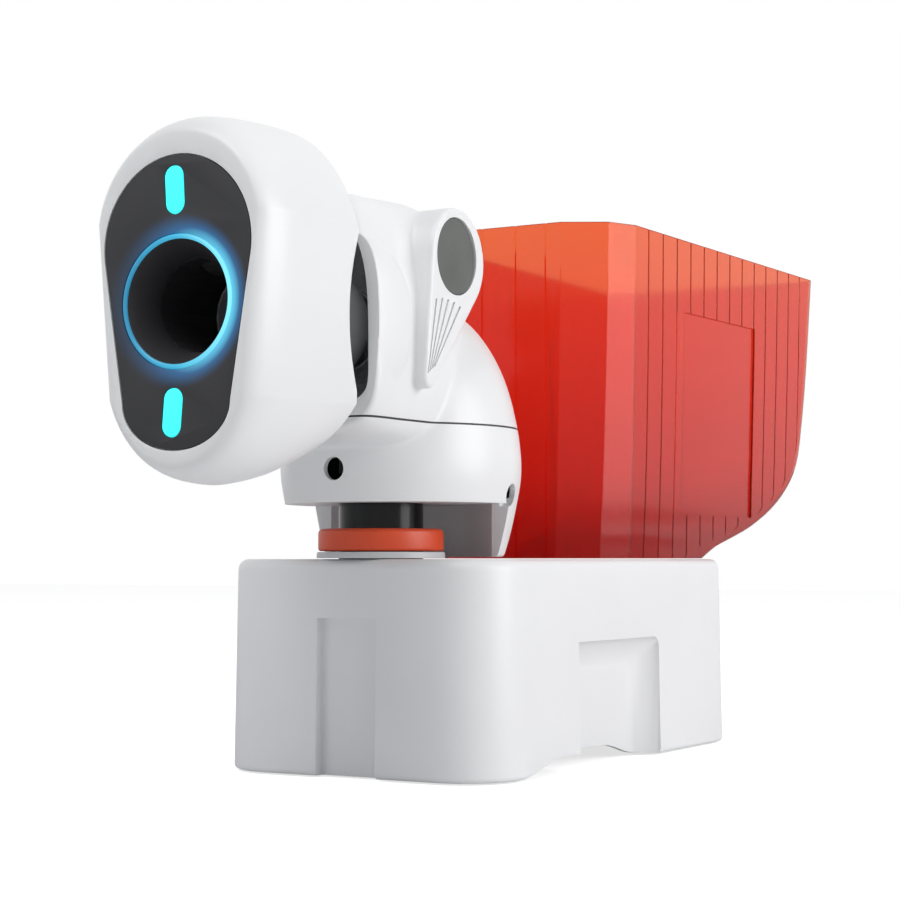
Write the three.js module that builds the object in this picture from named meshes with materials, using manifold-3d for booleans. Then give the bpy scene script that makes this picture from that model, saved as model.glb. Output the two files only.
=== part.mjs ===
// Table tennis robot: a base with a feed wheel, a ball hopper, a turret on a swivel and a throwing head.
// Millimetres, Z up, the mouth looks along -Y, X = 0 is the mid-plane.
// While the parts are made, Y is counted from the front face of the base; the last step moves them
// so that the middle of the whole depth is at zero.
import * as THREE from "three";
import { mergeVertices } from "three/addons/utils/BufferGeometryUtils.js";
import Module from "manifold-3d";

const wasm = await Module();
wasm.setup();

// LENGTHS
// Joint play between neighbouring pieces.
const fitGap = 0.3;

// Ball path.
const ballBore = 21.3; // radius of every ball passage
const tubeWall = 1.01;

// Base.
const baseSideGap = 22.4; // from the feed wheel to a long side
const baseRearGap = 10.1; // from the feed wheel to the rear face
const baseTop = 112;
const baseBottom = 1.12;
const baseFrontRound = 33.6;
const baseRearRound = 15.7;
const baseWall = 2.91;
const baseTopRound = 5.6;
const baseFootRound = 2.69;
const baseDraft = 1.57;
const archStart = 29.1;
const archEnd = 199.4;
const archHeight = 7.84;
const archEase = 49.3;
const slotWidth = 35.8;
const slotTop = 81.8;
const slotDepth = 6.72;
const scoopStart = 98.6;
const scoopEnd = 201.6;
const scoopTop = 68.3;
const scoopGap = 9; // from the feed wheel to the deep face
const scoopEase = 15.7;
const plateBottom = 9.5;
const plateThick = 2.69;
const footRadius = 9;
const footInset = 29.1;
const footRearInset = 26.9;

// Swivel.
const swivelY = 34.7;
const collarRadius = 33.8;
const collarThick = 3.36;
const ringRadius = 33;
const ringHeight = 11.9;
const ringRound = 2.46;
const neckBottom = 100.8;
const neckTop = 156.8;

// Bars slimmer than this are made with fewer sides.
const slimRadius = 6.72;

// Turret body.
const bodyY = 56;
const bodyFloor = 141.1;
const bodyWall = 2.91;
const bodyCutRadius = 58.2;
const undercutEnd = 59.4;
const bodyFoot = 113.1;
const seamHeight = 181;
const seamHalf = 0.56;
const seamSink = 0.22;
const bodyFrontReach = 67.2;
const bodyRadius = 63.8;
const bodyCrownRise = 68.5; // from the seam, as are the next hood heights
const hoodFront = -49.3;
const hoodRear = 53.8;
const hoodHalf = 51.5;
const hoodFootDrop = 13;
const hoodCrownRise = 114.5;
const hoodMouthHalf = 44.8;
const hoodMouthTop = 53.5; // above the tilt axis
const hoodMouthFoot = 42;
const hoodMouthLevel = 19.6; // widest level, below the tilt axis
const bulgeY = -29.5;
const bulgeDepth = 29.3;
const bulgeTall = 49.3;
const bulgeReach = 54.9;
const bulgeInner = 33.6;
const earY = 16.2;
const earRise = 34.8; // from the tilt axis
const earRadius = 26.3;
const earFace = 58.2;
const earInner = 38.1;
const earDiscRadius = 19.5;
const earDiscY = 14;
const earDiscRise = 36.1;
const earDiscSink = 0.9;
const earDiscThick = 1.6;
const tailY = -11.8;
const tailDrop = 27.4;
const tailRadius = 5.15;
const bossRadius = 9;
const bossInner = 34.7;
const axleRadius = 4.48;
const plugBack = 8.5;

// Tilt drum.
const tiltY = -33.6;
const tiltRise = 48; // from the seam
const drumRadius = 30.2;
const drumRear = 21.3;
const barrelRadius = 25.2;
const barrelEnd = -80.6;
const axleEnd = 44.8;

// Head.
const headFront = -141.8;
const headHalfWidth = 52.3;
const upperCreaseRise = 38.6; // from the tilt axis, as are the other heights of the head
const lowerCreaseDrop = 43.7;
const headTopRise = 91.3;
const headBottomDrop = 82.8;
const headWall = 2.91;
const headRear = -67.2;
const headRound = 8.8;
const headCrownDrop = 14;
const headChinNarrow = 9.2; // how much narrower the lower half is at the front
const headChinRise = 13.2;
const headArcRadius = 95.2;
const headArcDepth = 9;
const headPlugRadius = 5.6;
const headPlugY = -103;
const panelUpperRadius = 41.4;
const panelUpperRise = 25.8;
const panelLowerHalf = 30.2;
const panelLowerTall = 21.8;
const panelLowerDrop = 45.9;
const panelThick = 2.24;
const panelProud = 0.45;
const mouthRadius = 28.6;
const mouthInner = 22;
const mouthDepth = 17.5;
const mouthWall = 1.57;
const lightOuter = 31;
const lightThick = 1.79;
const ledHalfWidth = 5.15;
const ledHalfHeight = 11.2;
const ledUpperRise = 51.9;
const ledLowerDrop = 50.8;
const wheelY = -99.7;
const wheelRadius = 22.4;
const wheelHub = 14.6;
const wheelHalfWidth = 9;
const wheelLift = 39.9;
const wheelRoom = 1;
const shaftRadius = 1.79;
const motorRadius = 14.6;
const motorStart = 15;
const motorEnd = 37;
const bracketStart = 11.2;
const bracketThick = 2.91;
const guideStart = -118.7;
const guideEnd = -81.3;

// Hopper.
const hopperTop = 305.8;
const hopperBottom = 112.4;
const hopperWall = 2.46;
const hopperGap = 44.8; // from the round body to the front wall
const hopperFlatHalf = 40.3;
const hopperNoseHalf = 64.5;
const hopperNoseBack = 13.4;
const hopperCheekHalf = 72.8;
const hopperCheekBack = 32.5;
const hopperRearRound = 9;
const hopperRearInset = 1.1;
const hopperRear = 481.6;
const hopperHalf = 78.4;
const doorGap = 100.8; // from the front wall
const doorDepth = 109.8;
const doorTop = 262.1;
const doorBottom = 138.9;
const doorSink = 1.01;

// Feed.
const feedY = 231.8;
const feedWheelTop = 108.2;
const feedWheelBottom = 71.7;
const pocketPlay = 0.4;
const pocketWeb = 9.8; // least wall between neighbouring pockets
const pocketRim = 3.4; // least wall outside a pocket
const trayLip = 3.4;
const trayTop = 71;
const trayThick = 2.24;
const postRadius = 3.36;
const postInset = 10.1;
const feedMotorRadius = 14.6;
const chuteLow = 35.8;
const chuteBend = 33.6;

// Electrics.
const boardWidth = 62.7;
const boardDepth = 29.1;
const boardThick = 1.79;
const boardRearGap = 8.9;
const boardLift = 5.6;
const standoffRadius = 2.69;
const inletX = -33.6;
const inletZ = 44.8;
const inletRadius = 5.6;
const switchX = 33.6;
const switchZ = 44.8;
const switchWidth = 15.7;
const switchHeight = 22.4;
const switchDepth = 10.1;
const switchWall = 1.79;
const rockerTilt = 2.46;
const servoWidth = 22.4;
const servoDepth = 40.3;
const servoHeight = 29.1;
const servoX = 37;
const servoY = 58.2;
// END OF LENGTHS

// Sizes and places that follow from the lengths.
const pocketRadius = ballBore + pocketPlay;
const pocketOffset = (pocketRadius + pocketWeb / 2) * Math.SQRT2;
const feedRadius = pocketOffset + pocketRadius + pocketRim;
const trayRadius = feedRadius + trayLip;
const postReach = trayRadius - postInset;
const baseWidth = 2 * (feedRadius + baseSideGap);
const baseDepth = feedY + feedRadius + baseRearGap;
const scoopDepth = baseSideGap - scoopGap;
const boardY = baseDepth - boardRearGap - boardDepth;
const hopperFront = bodyY + bodyRadius + hopperGap;
const hopperFloorRear = baseDepth - hopperRearInset;
const doorStart = hopperFront + doorGap;
const bodyCrown = seamHeight + bodyCrownRise;
const hoodFoot = seamHeight - hoodFootDrop;
const hoodCrown = seamHeight + hoodCrownRise;
const tiltZ = seamHeight + tiltRise;
const earZ = tiltZ + earRise;
const earDiscZ = tiltZ + earDiscRise;
const tailZ = tiltZ - tailDrop;
const headUpperCrease = tiltZ + upperCreaseRise;
const headLowerCrease = tiltZ - lowerCreaseDrop;
const headTop = tiltZ + headTopRise;
const headBottom = tiltZ - headBottomDrop;
const panelUpperZ = tiltZ + panelUpperRise;
const panelLowerZ = tiltZ - panelLowerDrop;
const ledUpperZ = tiltZ + ledUpperRise;
const ledLowerZ = tiltZ - ledLowerDrop;

// SHARES
// Turned form of the body from foot to crown: radius, height.
const bodyFormShares = [
  [0.853, 0],
  [0.912, 0.099],
  [0.969, 0.222],
  [0.997, 0.304],
  [1, 0.37],
  [0.983, 0.46],
  [0.955, 0.534],
  [0.909, 0.624],
  [0.85, 0.706],
  [0.765, 0.788],
  [0.66, 0.862],
  [0.544, 0.92],
  [0.386, 0.969],
  [0.176, 1],
];

// Hood from front to rear: depth, half width below and above, underside, top.
const hoodFormShares = [
  [0, 0.968, 0.816, 0.061, 0.931],
  [0.022, 0.99, 0.859, 0.048, 0.962],
  [0.087, 1, 0.92, 0.035, 0.986],
  [0.239, 1, 1.018, 0.022, 1],
  [0.37, 0.99, 1.094, 0.013, 1],
  [0.522, 0.968, 1.109, 0.009, 1],
  [0.652, 0.946, 1.109, 0.009, 0.984],
  [0.772, 0.913, 1.087, 0.009, 0.931],
  [0.87, 0.826, 0.979, 0, 0.817],
  [0.946, 0.674, 0.761, 0, 0.685],
  [1, 0.478, 0.522, 0, 0.562],
];

// Head from front to rear: depth, how far it is drawn in, how much narrower its lower half is,
// how far its crown is lowered and its chin raised.
const headFormShares = [
  [0, 1.12, 0.889, 1.104, 0.815],
  [0.008, 0.827, 0.852, 0.896, 0.594],
  [0.042, 0.547, 0.779, 0.688, 0.373],
  [0.108, 0.305, 0.718, 0.464, 0.195],
  [0.222, 0.115, 0.633, 0.272, 0.059],
  [0.414, 0.025, 0.499, 0.128, 0],
  [0.715, 0, 0.28, 0.008, 0.288],
  [0.91, 0.013, 0.146, 0, 0.73],
  [0.979, 0.051, 0.134, 0.016, 0.882],
  [0.995, 0.127, 0.134, 0.064, 0.933],
  [1, 0.229, 0.134, 0.128, 1.001],
];

// Hopper from floor to rim: height, rear wall, half width.
const hopperFormShares = [
  [0, 0, 0.901],
  [0.038, 0.112, 0.906],
  [0.067, 0.251, 0.912],
  [0.108, 0.431, 0.917],
  [0.172, 0.616, 0.929],
  [0.247, 0.775, 0.937],
  [0.334, 0.874, 0.949],
  [0.461, 0.921, 0.96],
  [0.681, 0.96, 0.98],
  [1, 1, 1],
];

// Angles, counts and shares.
const cornerSteps = 5;
const roundSteps = 24;
const outlineSteps = 32;
const sweepSteps = 5;
const slimSteps = 12;
const ringSteps = 3;
const hoodPowerShare = 2 / 3.4;
const hoodFootPowerShare = 2 / 5;
const crownFrontShare = 0.99; // sine of the half angle of the arc
const crownRearShare = 0.93;
const chinFrontShare = 0.93;
const chinRearShare = 0.82;
const cheekShare = 0.92;
const plugHeightShare = 0.421; // of the band between floor and seam, as are the next two
const sidePlugHeightShare = 0.112;
const plugRadiusShare = 0.149;
const flareShare = 0.25; // of the upper quarter turn, over which the hood widens
const pocketCount = 4;
const spokeShare = 0.42;
const ringLowerShare = 0.6;

const white = [0.93, 0.93, 0.94];
const pale = [0.8, 0.81, 0.83];
const dark = [0.07, 0.07, 0.075];
const grey = [0.36, 0.37, 0.36];
const orange = [0.8, 0.2, 0.06];
const amber = [0.9, 0.2, 0.06];
const cyan = [0.1, 0.9, 0.95];
const steel = [0.6, 0.6, 0.62];
const green = [0.05, 0.3, 0.12];

const group = new THREE.Group();

// A closed geometry as a solid; a body that faces inwards is turned round.
function solid(geometry) {
  const bare = geometry.clone();
  bare.deleteAttribute("normal");
  bare.deleteAttribute("uv");
  const merged = mergeVertices(bare, 1e-4);
  const build = (faces) =>
    new wasm.Manifold(
      new wasm.Mesh({
        numProp: 3,
        vertProperties: new Float32Array(merged.attributes.position.array),
        triVerts: faces,
      }),
    );
  const faces = new Uint32Array(merged.index.array);
  const made = build(faces);
  if (made.volume() > 0) return made;
  return build(faces.slice().reverse());
}

// A body through rings of points with the same count, closed by a flat fan at both ends.
function loft(rings) {
  const count = rings[0].length;
  const points = rings.flat();
  const first = centreOf(rings[0]);
  const last = centreOf(rings[rings.length - 1]);
  points.push(first, last);
  const faces = [];
  for (let r = 0; r + 1 < rings.length; r++) {
    for (let i = 0; i < count; i++) {
      const j = (i + 1) % count;
      const a = r * count + i;
      const b = r * count + j;
      faces.push(a, b, b + count, a, b + count, a + count);
    }
  }
  const firstIndex = rings.length * count;
  const lastRing = (rings.length - 1) * count;
  for (let i = 0; i < count; i++) {
    const j = (i + 1) % count;
    faces.push(firstIndex, j, i);
    faces.push(firstIndex + 1, lastRing + i, lastRing + j);
  }
  const geometry = new THREE.BufferGeometry();
  geometry.setAttribute("position", new THREE.Float32BufferAttribute(points.flat(), 3));
  geometry.setIndex(faces);
  return solid(geometry);
}

function centreOf(ring) {
  const sum = [0, 0, 0];
  for (const point of ring) point.forEach((value, axis) => (sum[axis] += value / ring.length));
  return sum;
}

function block(x0, x1, y0, y1, z0, z1) {
  const geometry = new THREE.BoxGeometry(x1 - x0, y1 - y0, z1 - z0);
  geometry.translate((x0 + x1) / 2, (y0 + y1) / 2, (z0 + z1) / 2);
  return solid(geometry);
}

// Round bar along an axis ("x", "y" or "z") from one place to another.
function bar(axis, radius, from, to, a, b, endRadius = radius) {
  const steps = radius < slimRadius ? slimSteps : roundSteps;
  const geometry = new THREE.CylinderGeometry(endRadius, radius, to - from, steps);
  geometry.translate(0, (from + to) / 2, 0);
  if (axis === "z") geometry.rotateX(Math.PI / 2).translate(a, b, 0);
  if (axis === "x") geometry.rotateZ(-Math.PI / 2).translate(0, a, b);
  if (axis === "y") geometry.translate(a, 0, b);
  return solid(geometry);
}

function tube(axis, outer, inner, from, to, a, b) {
  const over = outer;
  return bar(axis, outer, from, to, a, b).subtract(bar(axis, inner, from - over, to + over, a, b));
}

// Body of revolution round an upright axis, its profile given from bottom to top as [radius, height].
function turned(profile, x, y) {
  const points = profile.map(([radius, height]) => new THREE.Vector2(radius, height));
  const geometry = new THREE.LatheGeometry(points, roundSteps);
  geometry.rotateX(Math.PI / 2).translate(x, y, 0);
  return solid(geometry);
}

// Flat outline [a, b] pushed along x from one place to another, with a = y and b = z.
function plate(outline, from, to) {
  const shape = new THREE.Shape(outline.map(([a, b]) => new THREE.Vector2(a, b)));
  const geometry = new THREE.ExtrudeGeometry(shape, { depth: to - from, bevelEnabled: false });
  const turn = new THREE.Matrix4().makeBasis(
    new THREE.Vector3(0, 1, 0),
    new THREE.Vector3(0, 0, 1),
    new THREE.Vector3(1, 0, 0),
  );
  geometry.applyMatrix4(turn).translate(from, 0, 0);
  return solid(geometry);
}

function mirrored(body) {
  return body.mirror([1, 0, 0]);
}

function add(name, body, colour, look = {}) {
  const mesh = body.getMesh();
  const geometry = new THREE.BufferGeometry();
  geometry.setAttribute("position", new THREE.Float32BufferAttribute(Array.from(mesh.vertProperties), 3));
  geometry.setIndex(Array.from(mesh.triVerts));
  geometry.translate(0, -(headFront + hopperRear) / 2, 0);
  const material = new THREE.MeshStandardMaterial({ roughness: 0.4, ...look });
  material.color.setRGB(...colour);
  const made = new THREE.Mesh(geometry, material);
  made.name = name;
  group.add(made);
}

// BASE

// Plan outline of the base, drawn in by an inset, at a height.
function baseRing(inset, height) {
  const half = baseWidth / 2 - inset;
  const front = inset;
  const rear = baseDepth - inset;
  const frontRound = baseFrontRound - inset;
  const rearRound = baseRearRound - inset;
  const corners = [
    [half - rearRound, rear - rearRound, rearRound, 0],
    [-half + rearRound, rear - rearRound, rearRound, 1],
    [-half + frontRound, front + frontRound, frontRound, 2],
    [half - frontRound, front + frontRound, frontRound, 3],
  ];
  const ring = [];
  for (const [x, y, radius, quarter] of corners) {
    for (let i = 0; i <= cornerSteps; i++) {
      const angle = ((quarter + i / cornerSteps) * Math.PI) / 2;
      ring.push([x + radius * Math.cos(angle), y + radius * Math.sin(angle), height]);
    }
  }
  return ring;
}

function baseForm(inset) {
  const low = baseBottom - (inset > 0 ? baseWall : 0);
  const top = baseTop - inset;
  const rings = [baseRing(inset + baseFootRound / 2, low), baseRing(inset, low + baseFootRound)];
  for (let i = 0; i <= cornerSteps / 2; i++) {
    const angle = ((i / (cornerSteps / 2 - 0.5)) * Math.PI) / 2;
    const reach = Math.min(angle, Math.PI / 2);
    const drawn = baseDraft + baseTopRound * (1 - Math.cos(reach));
    rings.push(baseRing(inset + drawn, top - baseTopRound * (1 - Math.sin(reach))));
  }
  return loft(rings);
}

// Arch under both long sides, its ends eased in.
const archOutline = [[archStart, baseBottom - baseWall]];
for (let i = 0; i <= cornerSteps; i++) {
  const share = i / cornerSteps;
  const lift = archHeight * (1 - Math.cos(share * Math.PI)) / 2;
  archOutline.push([archStart + archEase * share, baseBottom + lift]);
}
for (let i = 0; i <= cornerSteps; i++) {
  const share = i / cornerSteps;
  const lift = archHeight * (1 + Math.cos(share * Math.PI)) / 2;
  archOutline.push([archEnd - archEase * (1 - share), baseBottom + lift]);
}
archOutline.push([archEnd, baseBottom - baseWall]);
const arch = plate(archOutline, -baseWidth, baseWidth);

// Slot in the front face, grown by the wall for the inner side.
function frontSlot(grow) {
  const half = slotWidth / 2 + grow;
  return block(-half, half, -baseWall, slotDepth + grow, -baseTop, slotTop + grow);
}

// Scoop in a long side: its deep face is set in, and its top and rear end run out softly.
function sideScoop(grow) {
  const deep = baseWidth / 2 - scoopDepth - grow;
  const out = baseWidth / 2 + baseWall;
  const start = scoopStart - grow;
  const end = scoopEnd + grow;
  const top = scoopTop + grow;
  const ring = (x, y1, z1) => [
    [x, start, -baseTop],
    [x, y1, -baseTop],
    [x, y1, z1],
    [x, start, z1],
  ];
  return loft([
    ring(deep, end - scoopEase, top - scoopEase),
    ring(deep + scoopDepth / 4, end - scoopEase / 3, top - scoopEase / 3),
    ring(baseWidth / 2 - baseDraft, end, top),
    ring(out, end, top),
  ]);
}

const cutouts = [frontSlot(0), sideScoop(0), mirrored(sideScoop(0))];
const grown = [frontSlot(baseWall), sideScoop(baseWall), mirrored(sideScoop(baseWall))];
let baseInside = baseForm(baseWall);
for (const body of grown) baseInside = baseInside.subtract(body);
let baseOuter = baseForm(0).subtract(arch);
for (const body of cutouts) baseOuter = baseOuter.subtract(body);
let baseShell = baseOuter.subtract(baseInside);
const throughTop = [baseTop - 2 * baseWall, baseTop + baseWall];
const neckRadius = ballBore + tubeWall;
const neckHole = neckRadius + fitGap;
baseShell = baseShell.subtract(bar("z", neckHole, ...throughTop, 0, swivelY));
baseShell = baseShell.subtract(bar("z", feedRadius + fitGap, ...throughTop, 0, feedY));
const rearOut = [baseDepth - 2 * baseWall, baseDepth + baseWall];
baseShell = baseShell.subtract(bar("y", inletRadius + fitGap, ...rearOut, inletX, inletZ));
const switchHalf = switchWidth / 2;
const switchTall = switchHeight / 2;
baseShell = baseShell.subtract(
  block(
    switchX - switchHalf - fitGap,
    switchX + switchHalf + fitGap,
    ...rearOut,
    switchZ - switchTall - fitGap,
    switchZ + switchTall + fitGap,
  ),
);
add("base_shell", baseShell, white);

// Bottom plate, clear of the shell and of the grown cut-outs.
let basePlate = loft([
  baseRing(baseWall + fitGap + baseFootRound / 2, plateBottom),
  baseRing(baseWall + fitGap + baseFootRound / 2, plateBottom + plateThick),
]);
const plateClear = baseWall + fitGap;
basePlate = basePlate.subtract(frontSlot(plateClear)).subtract(sideScoop(plateClear));
basePlate = basePlate.subtract(mirrored(sideScoop(plateClear)));
add("base_plate", basePlate, dark);

const footPlaces = [
  [-1, footInset],
  [1, footInset],
  [-1, baseDepth - footRearInset],
  [1, baseDepth - footRearInset],
];
footPlaces.forEach(([side, y], index) => {
  const x = side * (baseWidth / 2 - footInset);
  add(`foot_${index + 1}`, bar("z", footRadius, 0, plateBottom - fitGap, x, y), dark);
});

// FEED

let tray = bar("z", trayRadius, trayTop - trayThick, trayTop, 0, feedY);
const plateTop = plateBottom + plateThick;
for (const [dx, dy] of [[-1, 1], [1, 1], [-1, -1], [1, -1]]) {
  const x = (dx * postReach) / Math.SQRT2;
  const y = feedY + (dy * postReach) / Math.SQRT2;
  tray = tray.add(bar("z", postRadius, plateTop + fitGap, trayTop - trayThick / 2, x, y));
}
const chuteOuter = ballBore + tubeWall;
const dropY = feedY - pocketOffset;
tray = tray.subtract(bar("z", chuteOuter + fitGap, 0, baseTop, 0, dropY));
add("feed_tray", tray, pale);

let feedWheel = bar("z", feedRadius - fitGap, feedWheelBottom, feedWheelTop, 0, feedY);
for (let i = 0; i < pocketCount; i++) {
  const angle = ((i + 0.5) / pocketCount) * 2 * Math.PI;
  const x = pocketOffset * Math.cos(angle);
  const y = feedY + pocketOffset * Math.sin(angle);
  feedWheel = feedWheel.subtract(bar("z", pocketRadius, 0, baseTop, x, y));
}
const hubTop = feedWheelBottom + (feedWheelTop - feedWheelBottom) * spokeShare;
feedWheel = feedWheel.subtract(tube("z", feedRadius - tubeWall * 2, pocketRadius / 2, hubTop, baseTop, 0, feedY));
add("feed_wheel", feedWheel, orange);
const feedMotorTop = trayTop - trayThick - fitGap;
add("feed_motor", bar("z", feedMotorRadius, plateTop + fitGap, feedMotorTop, 0, feedY), steel);

// Ring of points round a path point that looks along a direction in the YZ plane.
function pathRing(radius, y, z, angle) {
  const ring = [];
  for (let i = 0; i < roundSteps; i++) {
    const turn = (i / roundSteps) * 2 * Math.PI;
    const side = radius * Math.cos(turn);
    const up = radius * Math.sin(turn);
    ring.push([side, y - up * Math.sin(angle), z + up * Math.cos(angle)]);
  }
  return ring;
}

// Swept bar through places [y, z, angle of travel].
function sweep(radius, places, before = 0, after = 0) {
  const rings = places.map(([y, z, angle]) => pathRing(radius, y, z, angle));
  const [startY, startZ, startAngle] = places[0];
  const [endY, endZ, endAngle] = places[places.length - 1];
  if (before > 0) {
    const y = startY - before * Math.cos(startAngle);
    const z = startZ - before * Math.sin(startAngle);
    rings.unshift(pathRing(radius, y, z, startAngle));
  }
  if (after > 0) {
    const y = endY + after * Math.cos(endAngle);
    const z = endZ + after * Math.sin(endAngle);
    rings.push(pathRing(radius, y, z, endAngle));
  }
  return loft(rings);
}

function bend(centreY, centreZ, radius, from, to, sign) {
  const places = [];
  for (let i = 0; i <= sweepSteps; i++) {
    const angle = from + ((to - from) * i) / sweepSteps;
    places.push([centreY + radius * Math.cos(angle), centreZ + radius * Math.sin(angle), angle + (sign * Math.PI) / 2]);
  }
  return places;
}

function pipe(places) {
  return sweep(chuteOuter, places).subtract(sweep(ballBore, places, ballBore, ballBore));
}

const inletPath = bend(dropY - chuteBend, chuteLow + chuteBend, chuteBend, 0, -Math.PI / 2, -1);
add("chute_inlet", pipe(inletPath), dark);
const runFront = swivelY + chuteBend + fitGap;
const runRear = dropY - chuteBend - fitGap;
add("ball_chute", tube("y", chuteOuter, ballBore, runFront, runRear, 0, chuteLow), dark);
const outletPath = [
  ...bend(swivelY + chuteBend, chuteLow + chuteBend, chuteBend, -Math.PI / 2, -Math.PI, -1),
  [swivelY, neckBottom - fitGap, Math.PI / 2],
];
add("chute_outlet", pipe(outletPath), dark);

// SWIVEL

const collarFloor = baseTop + fitGap;
add("swivel_collar", tube("z", collarRadius, neckHole, collarFloor, collarFloor + collarThick, 0, swivelY), pale);
const ringFloor = collarFloor + collarThick + fitGap;
const ringTop = ringFloor + ringHeight;
const ringProfile = [[neckHole, ringFloor]];
for (let i = 0; i <= ringSteps; i++) {
  const angle = (i / ringSteps) * (Math.PI / 2);
  ringProfile.push([
    ringRadius - ringRound * ringLowerShare * (1 - Math.sin(angle)),
    ringFloor + ringRound * ringLowerShare * (1 - Math.cos(angle)),
  ]);
}
for (let i = 0; i <= ringSteps; i++) {
  const angle = (i / ringSteps) * (Math.PI / 2);
  ringProfile.push([
    ringRadius - ringRound * (1 - Math.cos(angle)),
    ringTop - ringRound * (1 - Math.sin(angle)),
  ]);
}
ringProfile.push([neckHole, ringTop], [neckHole, ringFloor]);
add("swivel_ring", turned(ringProfile, 0, swivelY), orange);
add("neck_tube", tube("z", neckRadius, ballBore, neckBottom, neckTop, 0, swivelY), dark, { roughness: 0.15 });
const elbowPath = [
  [swivelY, neckTop + fitGap, Math.PI / 2],
  ...bend(swivelY - chuteBend, tiltZ - chuteBend, chuteBend, 0, Math.PI / 2, 1),
  [tiltY + drumRadius + fitGap, tiltZ, Math.PI],
];
add("ball_elbow", pipe(elbowPath), pale);

// TURRET BODY

// One level of the round body: the rear half is round, the front half reaches out a little further.
function bodyRing(radius, height, inset) {
  const side = radius - inset;
  const reach = (side * bodyFrontReach) / bodyRadius;
  const ring = [];
  for (let i = 0; i < outlineSteps; i++) {
    const angle = (i / outlineSteps) * 2 * Math.PI;
    const depth = Math.sin(angle) < 0 ? reach : side;
    ring.push([side * Math.cos(angle), bodyY + depth * Math.sin(angle), height]);
  }
  return ring;
}

function bodyForm(inset) {
  const top = bodyFormShares.length - 1;
  return loft(
    bodyFormShares.map(([radiusShare, heightShare], index) => {
      const drop = index === 0 ? -inset : (inset * index) / top;
      const height = bodyFoot + (bodyCrown - bodyFoot) * heightShare;
      return bodyRing(bodyRadius * radiusShare, height - drop, inset);
    }),
  );
}

// Cross-section of the hood at one depth; its upper part is wider, to carry the ears.
function hoodRing(y, half, upperHalf, bottom, top, inset) {
  const ring = [];
  const middle = (top + bottom) / 2;
  const tall = (top - bottom) / 2 - inset;
  for (let i = 0; i < outlineSteps; i++) {
    const angle = (i / outlineSteps) * 2 * Math.PI;
    const rise = THREE.MathUtils.smoothstep(Math.sin(angle), 0, flareShare);
    const wide = half + (upperHalf - half) * rise - inset;
    const power = Math.sin(angle) < 0 ? hoodFootPowerShare : hoodPowerShare;
    const x = wide * Math.sign(Math.cos(angle)) * Math.abs(Math.cos(angle)) ** power;
    const z = middle + tall * Math.sign(Math.sin(angle)) * Math.abs(Math.sin(angle)) ** power;
    ring.push([x, y, z]);
  }
  return ring;
}

function hoodForm(inset) {
  const last = hoodFormShares.length - 1;
  const tall = hoodCrown - hoodFoot;
  return loft(
    hoodFormShares.map(([depthShare, halfShare, upperShare, footShare, crownShare], index) => {
      const shift = index === 0 ? inset : 0;
      const back = index === last ? -inset : 0;
      const y = hoodFront + (hoodRear - hoodFront) * depthShare + shift + back;
      const bottom = hoodFoot + tall * footShare;
      return hoodRing(y, hoodHalf * halfShare, hoodHalf * upperShare, bottom, hoodFoot + tall * crownShare, inset);
    }),
  );
}

// Outline of the ear with its tapering tail.
function earOutline(grow) {
  const outline = [];
  const dy = earY - tailY;
  const dz = earZ - tailZ;
  const away = Math.hypot(dy, dz);
  const lean = Math.atan2(dz, dy);
  const open = Math.acos((earRadius - tailRadius) / away);
  const big = 2 * (Math.PI - open);
  for (let i = 0; i <= roundSteps / 2; i++) {
    const angle = lean - big / 2 + (big * i) / (roundSteps / 2);
    outline.push([earY + (earRadius + grow) * Math.cos(angle), earZ + (earRadius + grow) * Math.sin(angle)]);
  }
  for (let i = 0; i <= cornerSteps; i++) {
    const angle = lean + Math.PI - open + (2 * open * i) / cornerSteps;
    outline.push([tailY + (tailRadius + grow) * Math.cos(angle), tailZ + (tailRadius + grow) * Math.sin(angle)]);
  }
  return outline;
}

const ear = plate(earOutline(0), earInner, earFace);

// Raised cheek beside the mouth of the hood, highest behind its front.
function bulge() {
  const rings = [];
  for (let r = 0; r <= cornerSteps; r++) {
    const angle = (r / cornerSteps) * (Math.PI / 2) * cheekShare;
    const shrink = Math.cos(angle);
    const ring = [];
    for (let i = 0; i < outlineSteps; i++) {
      const turn = (i / outlineSteps) * 2 * Math.PI;
      ring.push([
        bulgeInner + (bulgeReach - bulgeInner) * Math.sin(angle),
        bulgeY + bulgeDepth * shrink * Math.cos(turn),
        tiltZ + bulgeTall * shrink * Math.sin(turn),
      ]);
    }
    rings.push(ring);
  }
  return loft(rings);
}

const upperFloor = seamHeight + seamHalf + fitGap;
const behindRim = block(-baseWidth, baseWidth, hoodFront + fitGap, baseDepth, upperFloor, hopperTop + baseTop);
const cheek = bulge().intersect(behindRim);
let turretOuter = bodyForm(0).add(hoodForm(0));
turretOuter = turretOuter.add(ear).add(mirrored(ear)).add(cheek).add(mirrored(cheek));
const turretInside = bodyForm(bodyWall).add(hoodForm(bodyWall));

// The concave front of the rear column and the flat underside.
const underCut = bar("z", bodyCutRadius, 0, bodyFloor, 0, swivelY);
const underFront = block(-baseWidth, baseWidth, -baseWidth, undercutEnd, 0, bodyFloor);
turretOuter = turretOuter.subtract(underCut).subtract(underFront);
const floorTop = bodyFloor + bodyWall;
const insideAbove = turretInside.subtract(block(-baseWidth, baseWidth, -baseWidth, baseDepth, 0, floorTop));

let turret = turretOuter.subtract(insideAbove);
const lowerTop = seamHeight - seamHalf - fitGap;
const far = baseDepth;
const below = block(-far, far, -far, far, -far, lowerTop);
const above = block(-far, far, -far, far, upperFloor, 2 * far);

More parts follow.
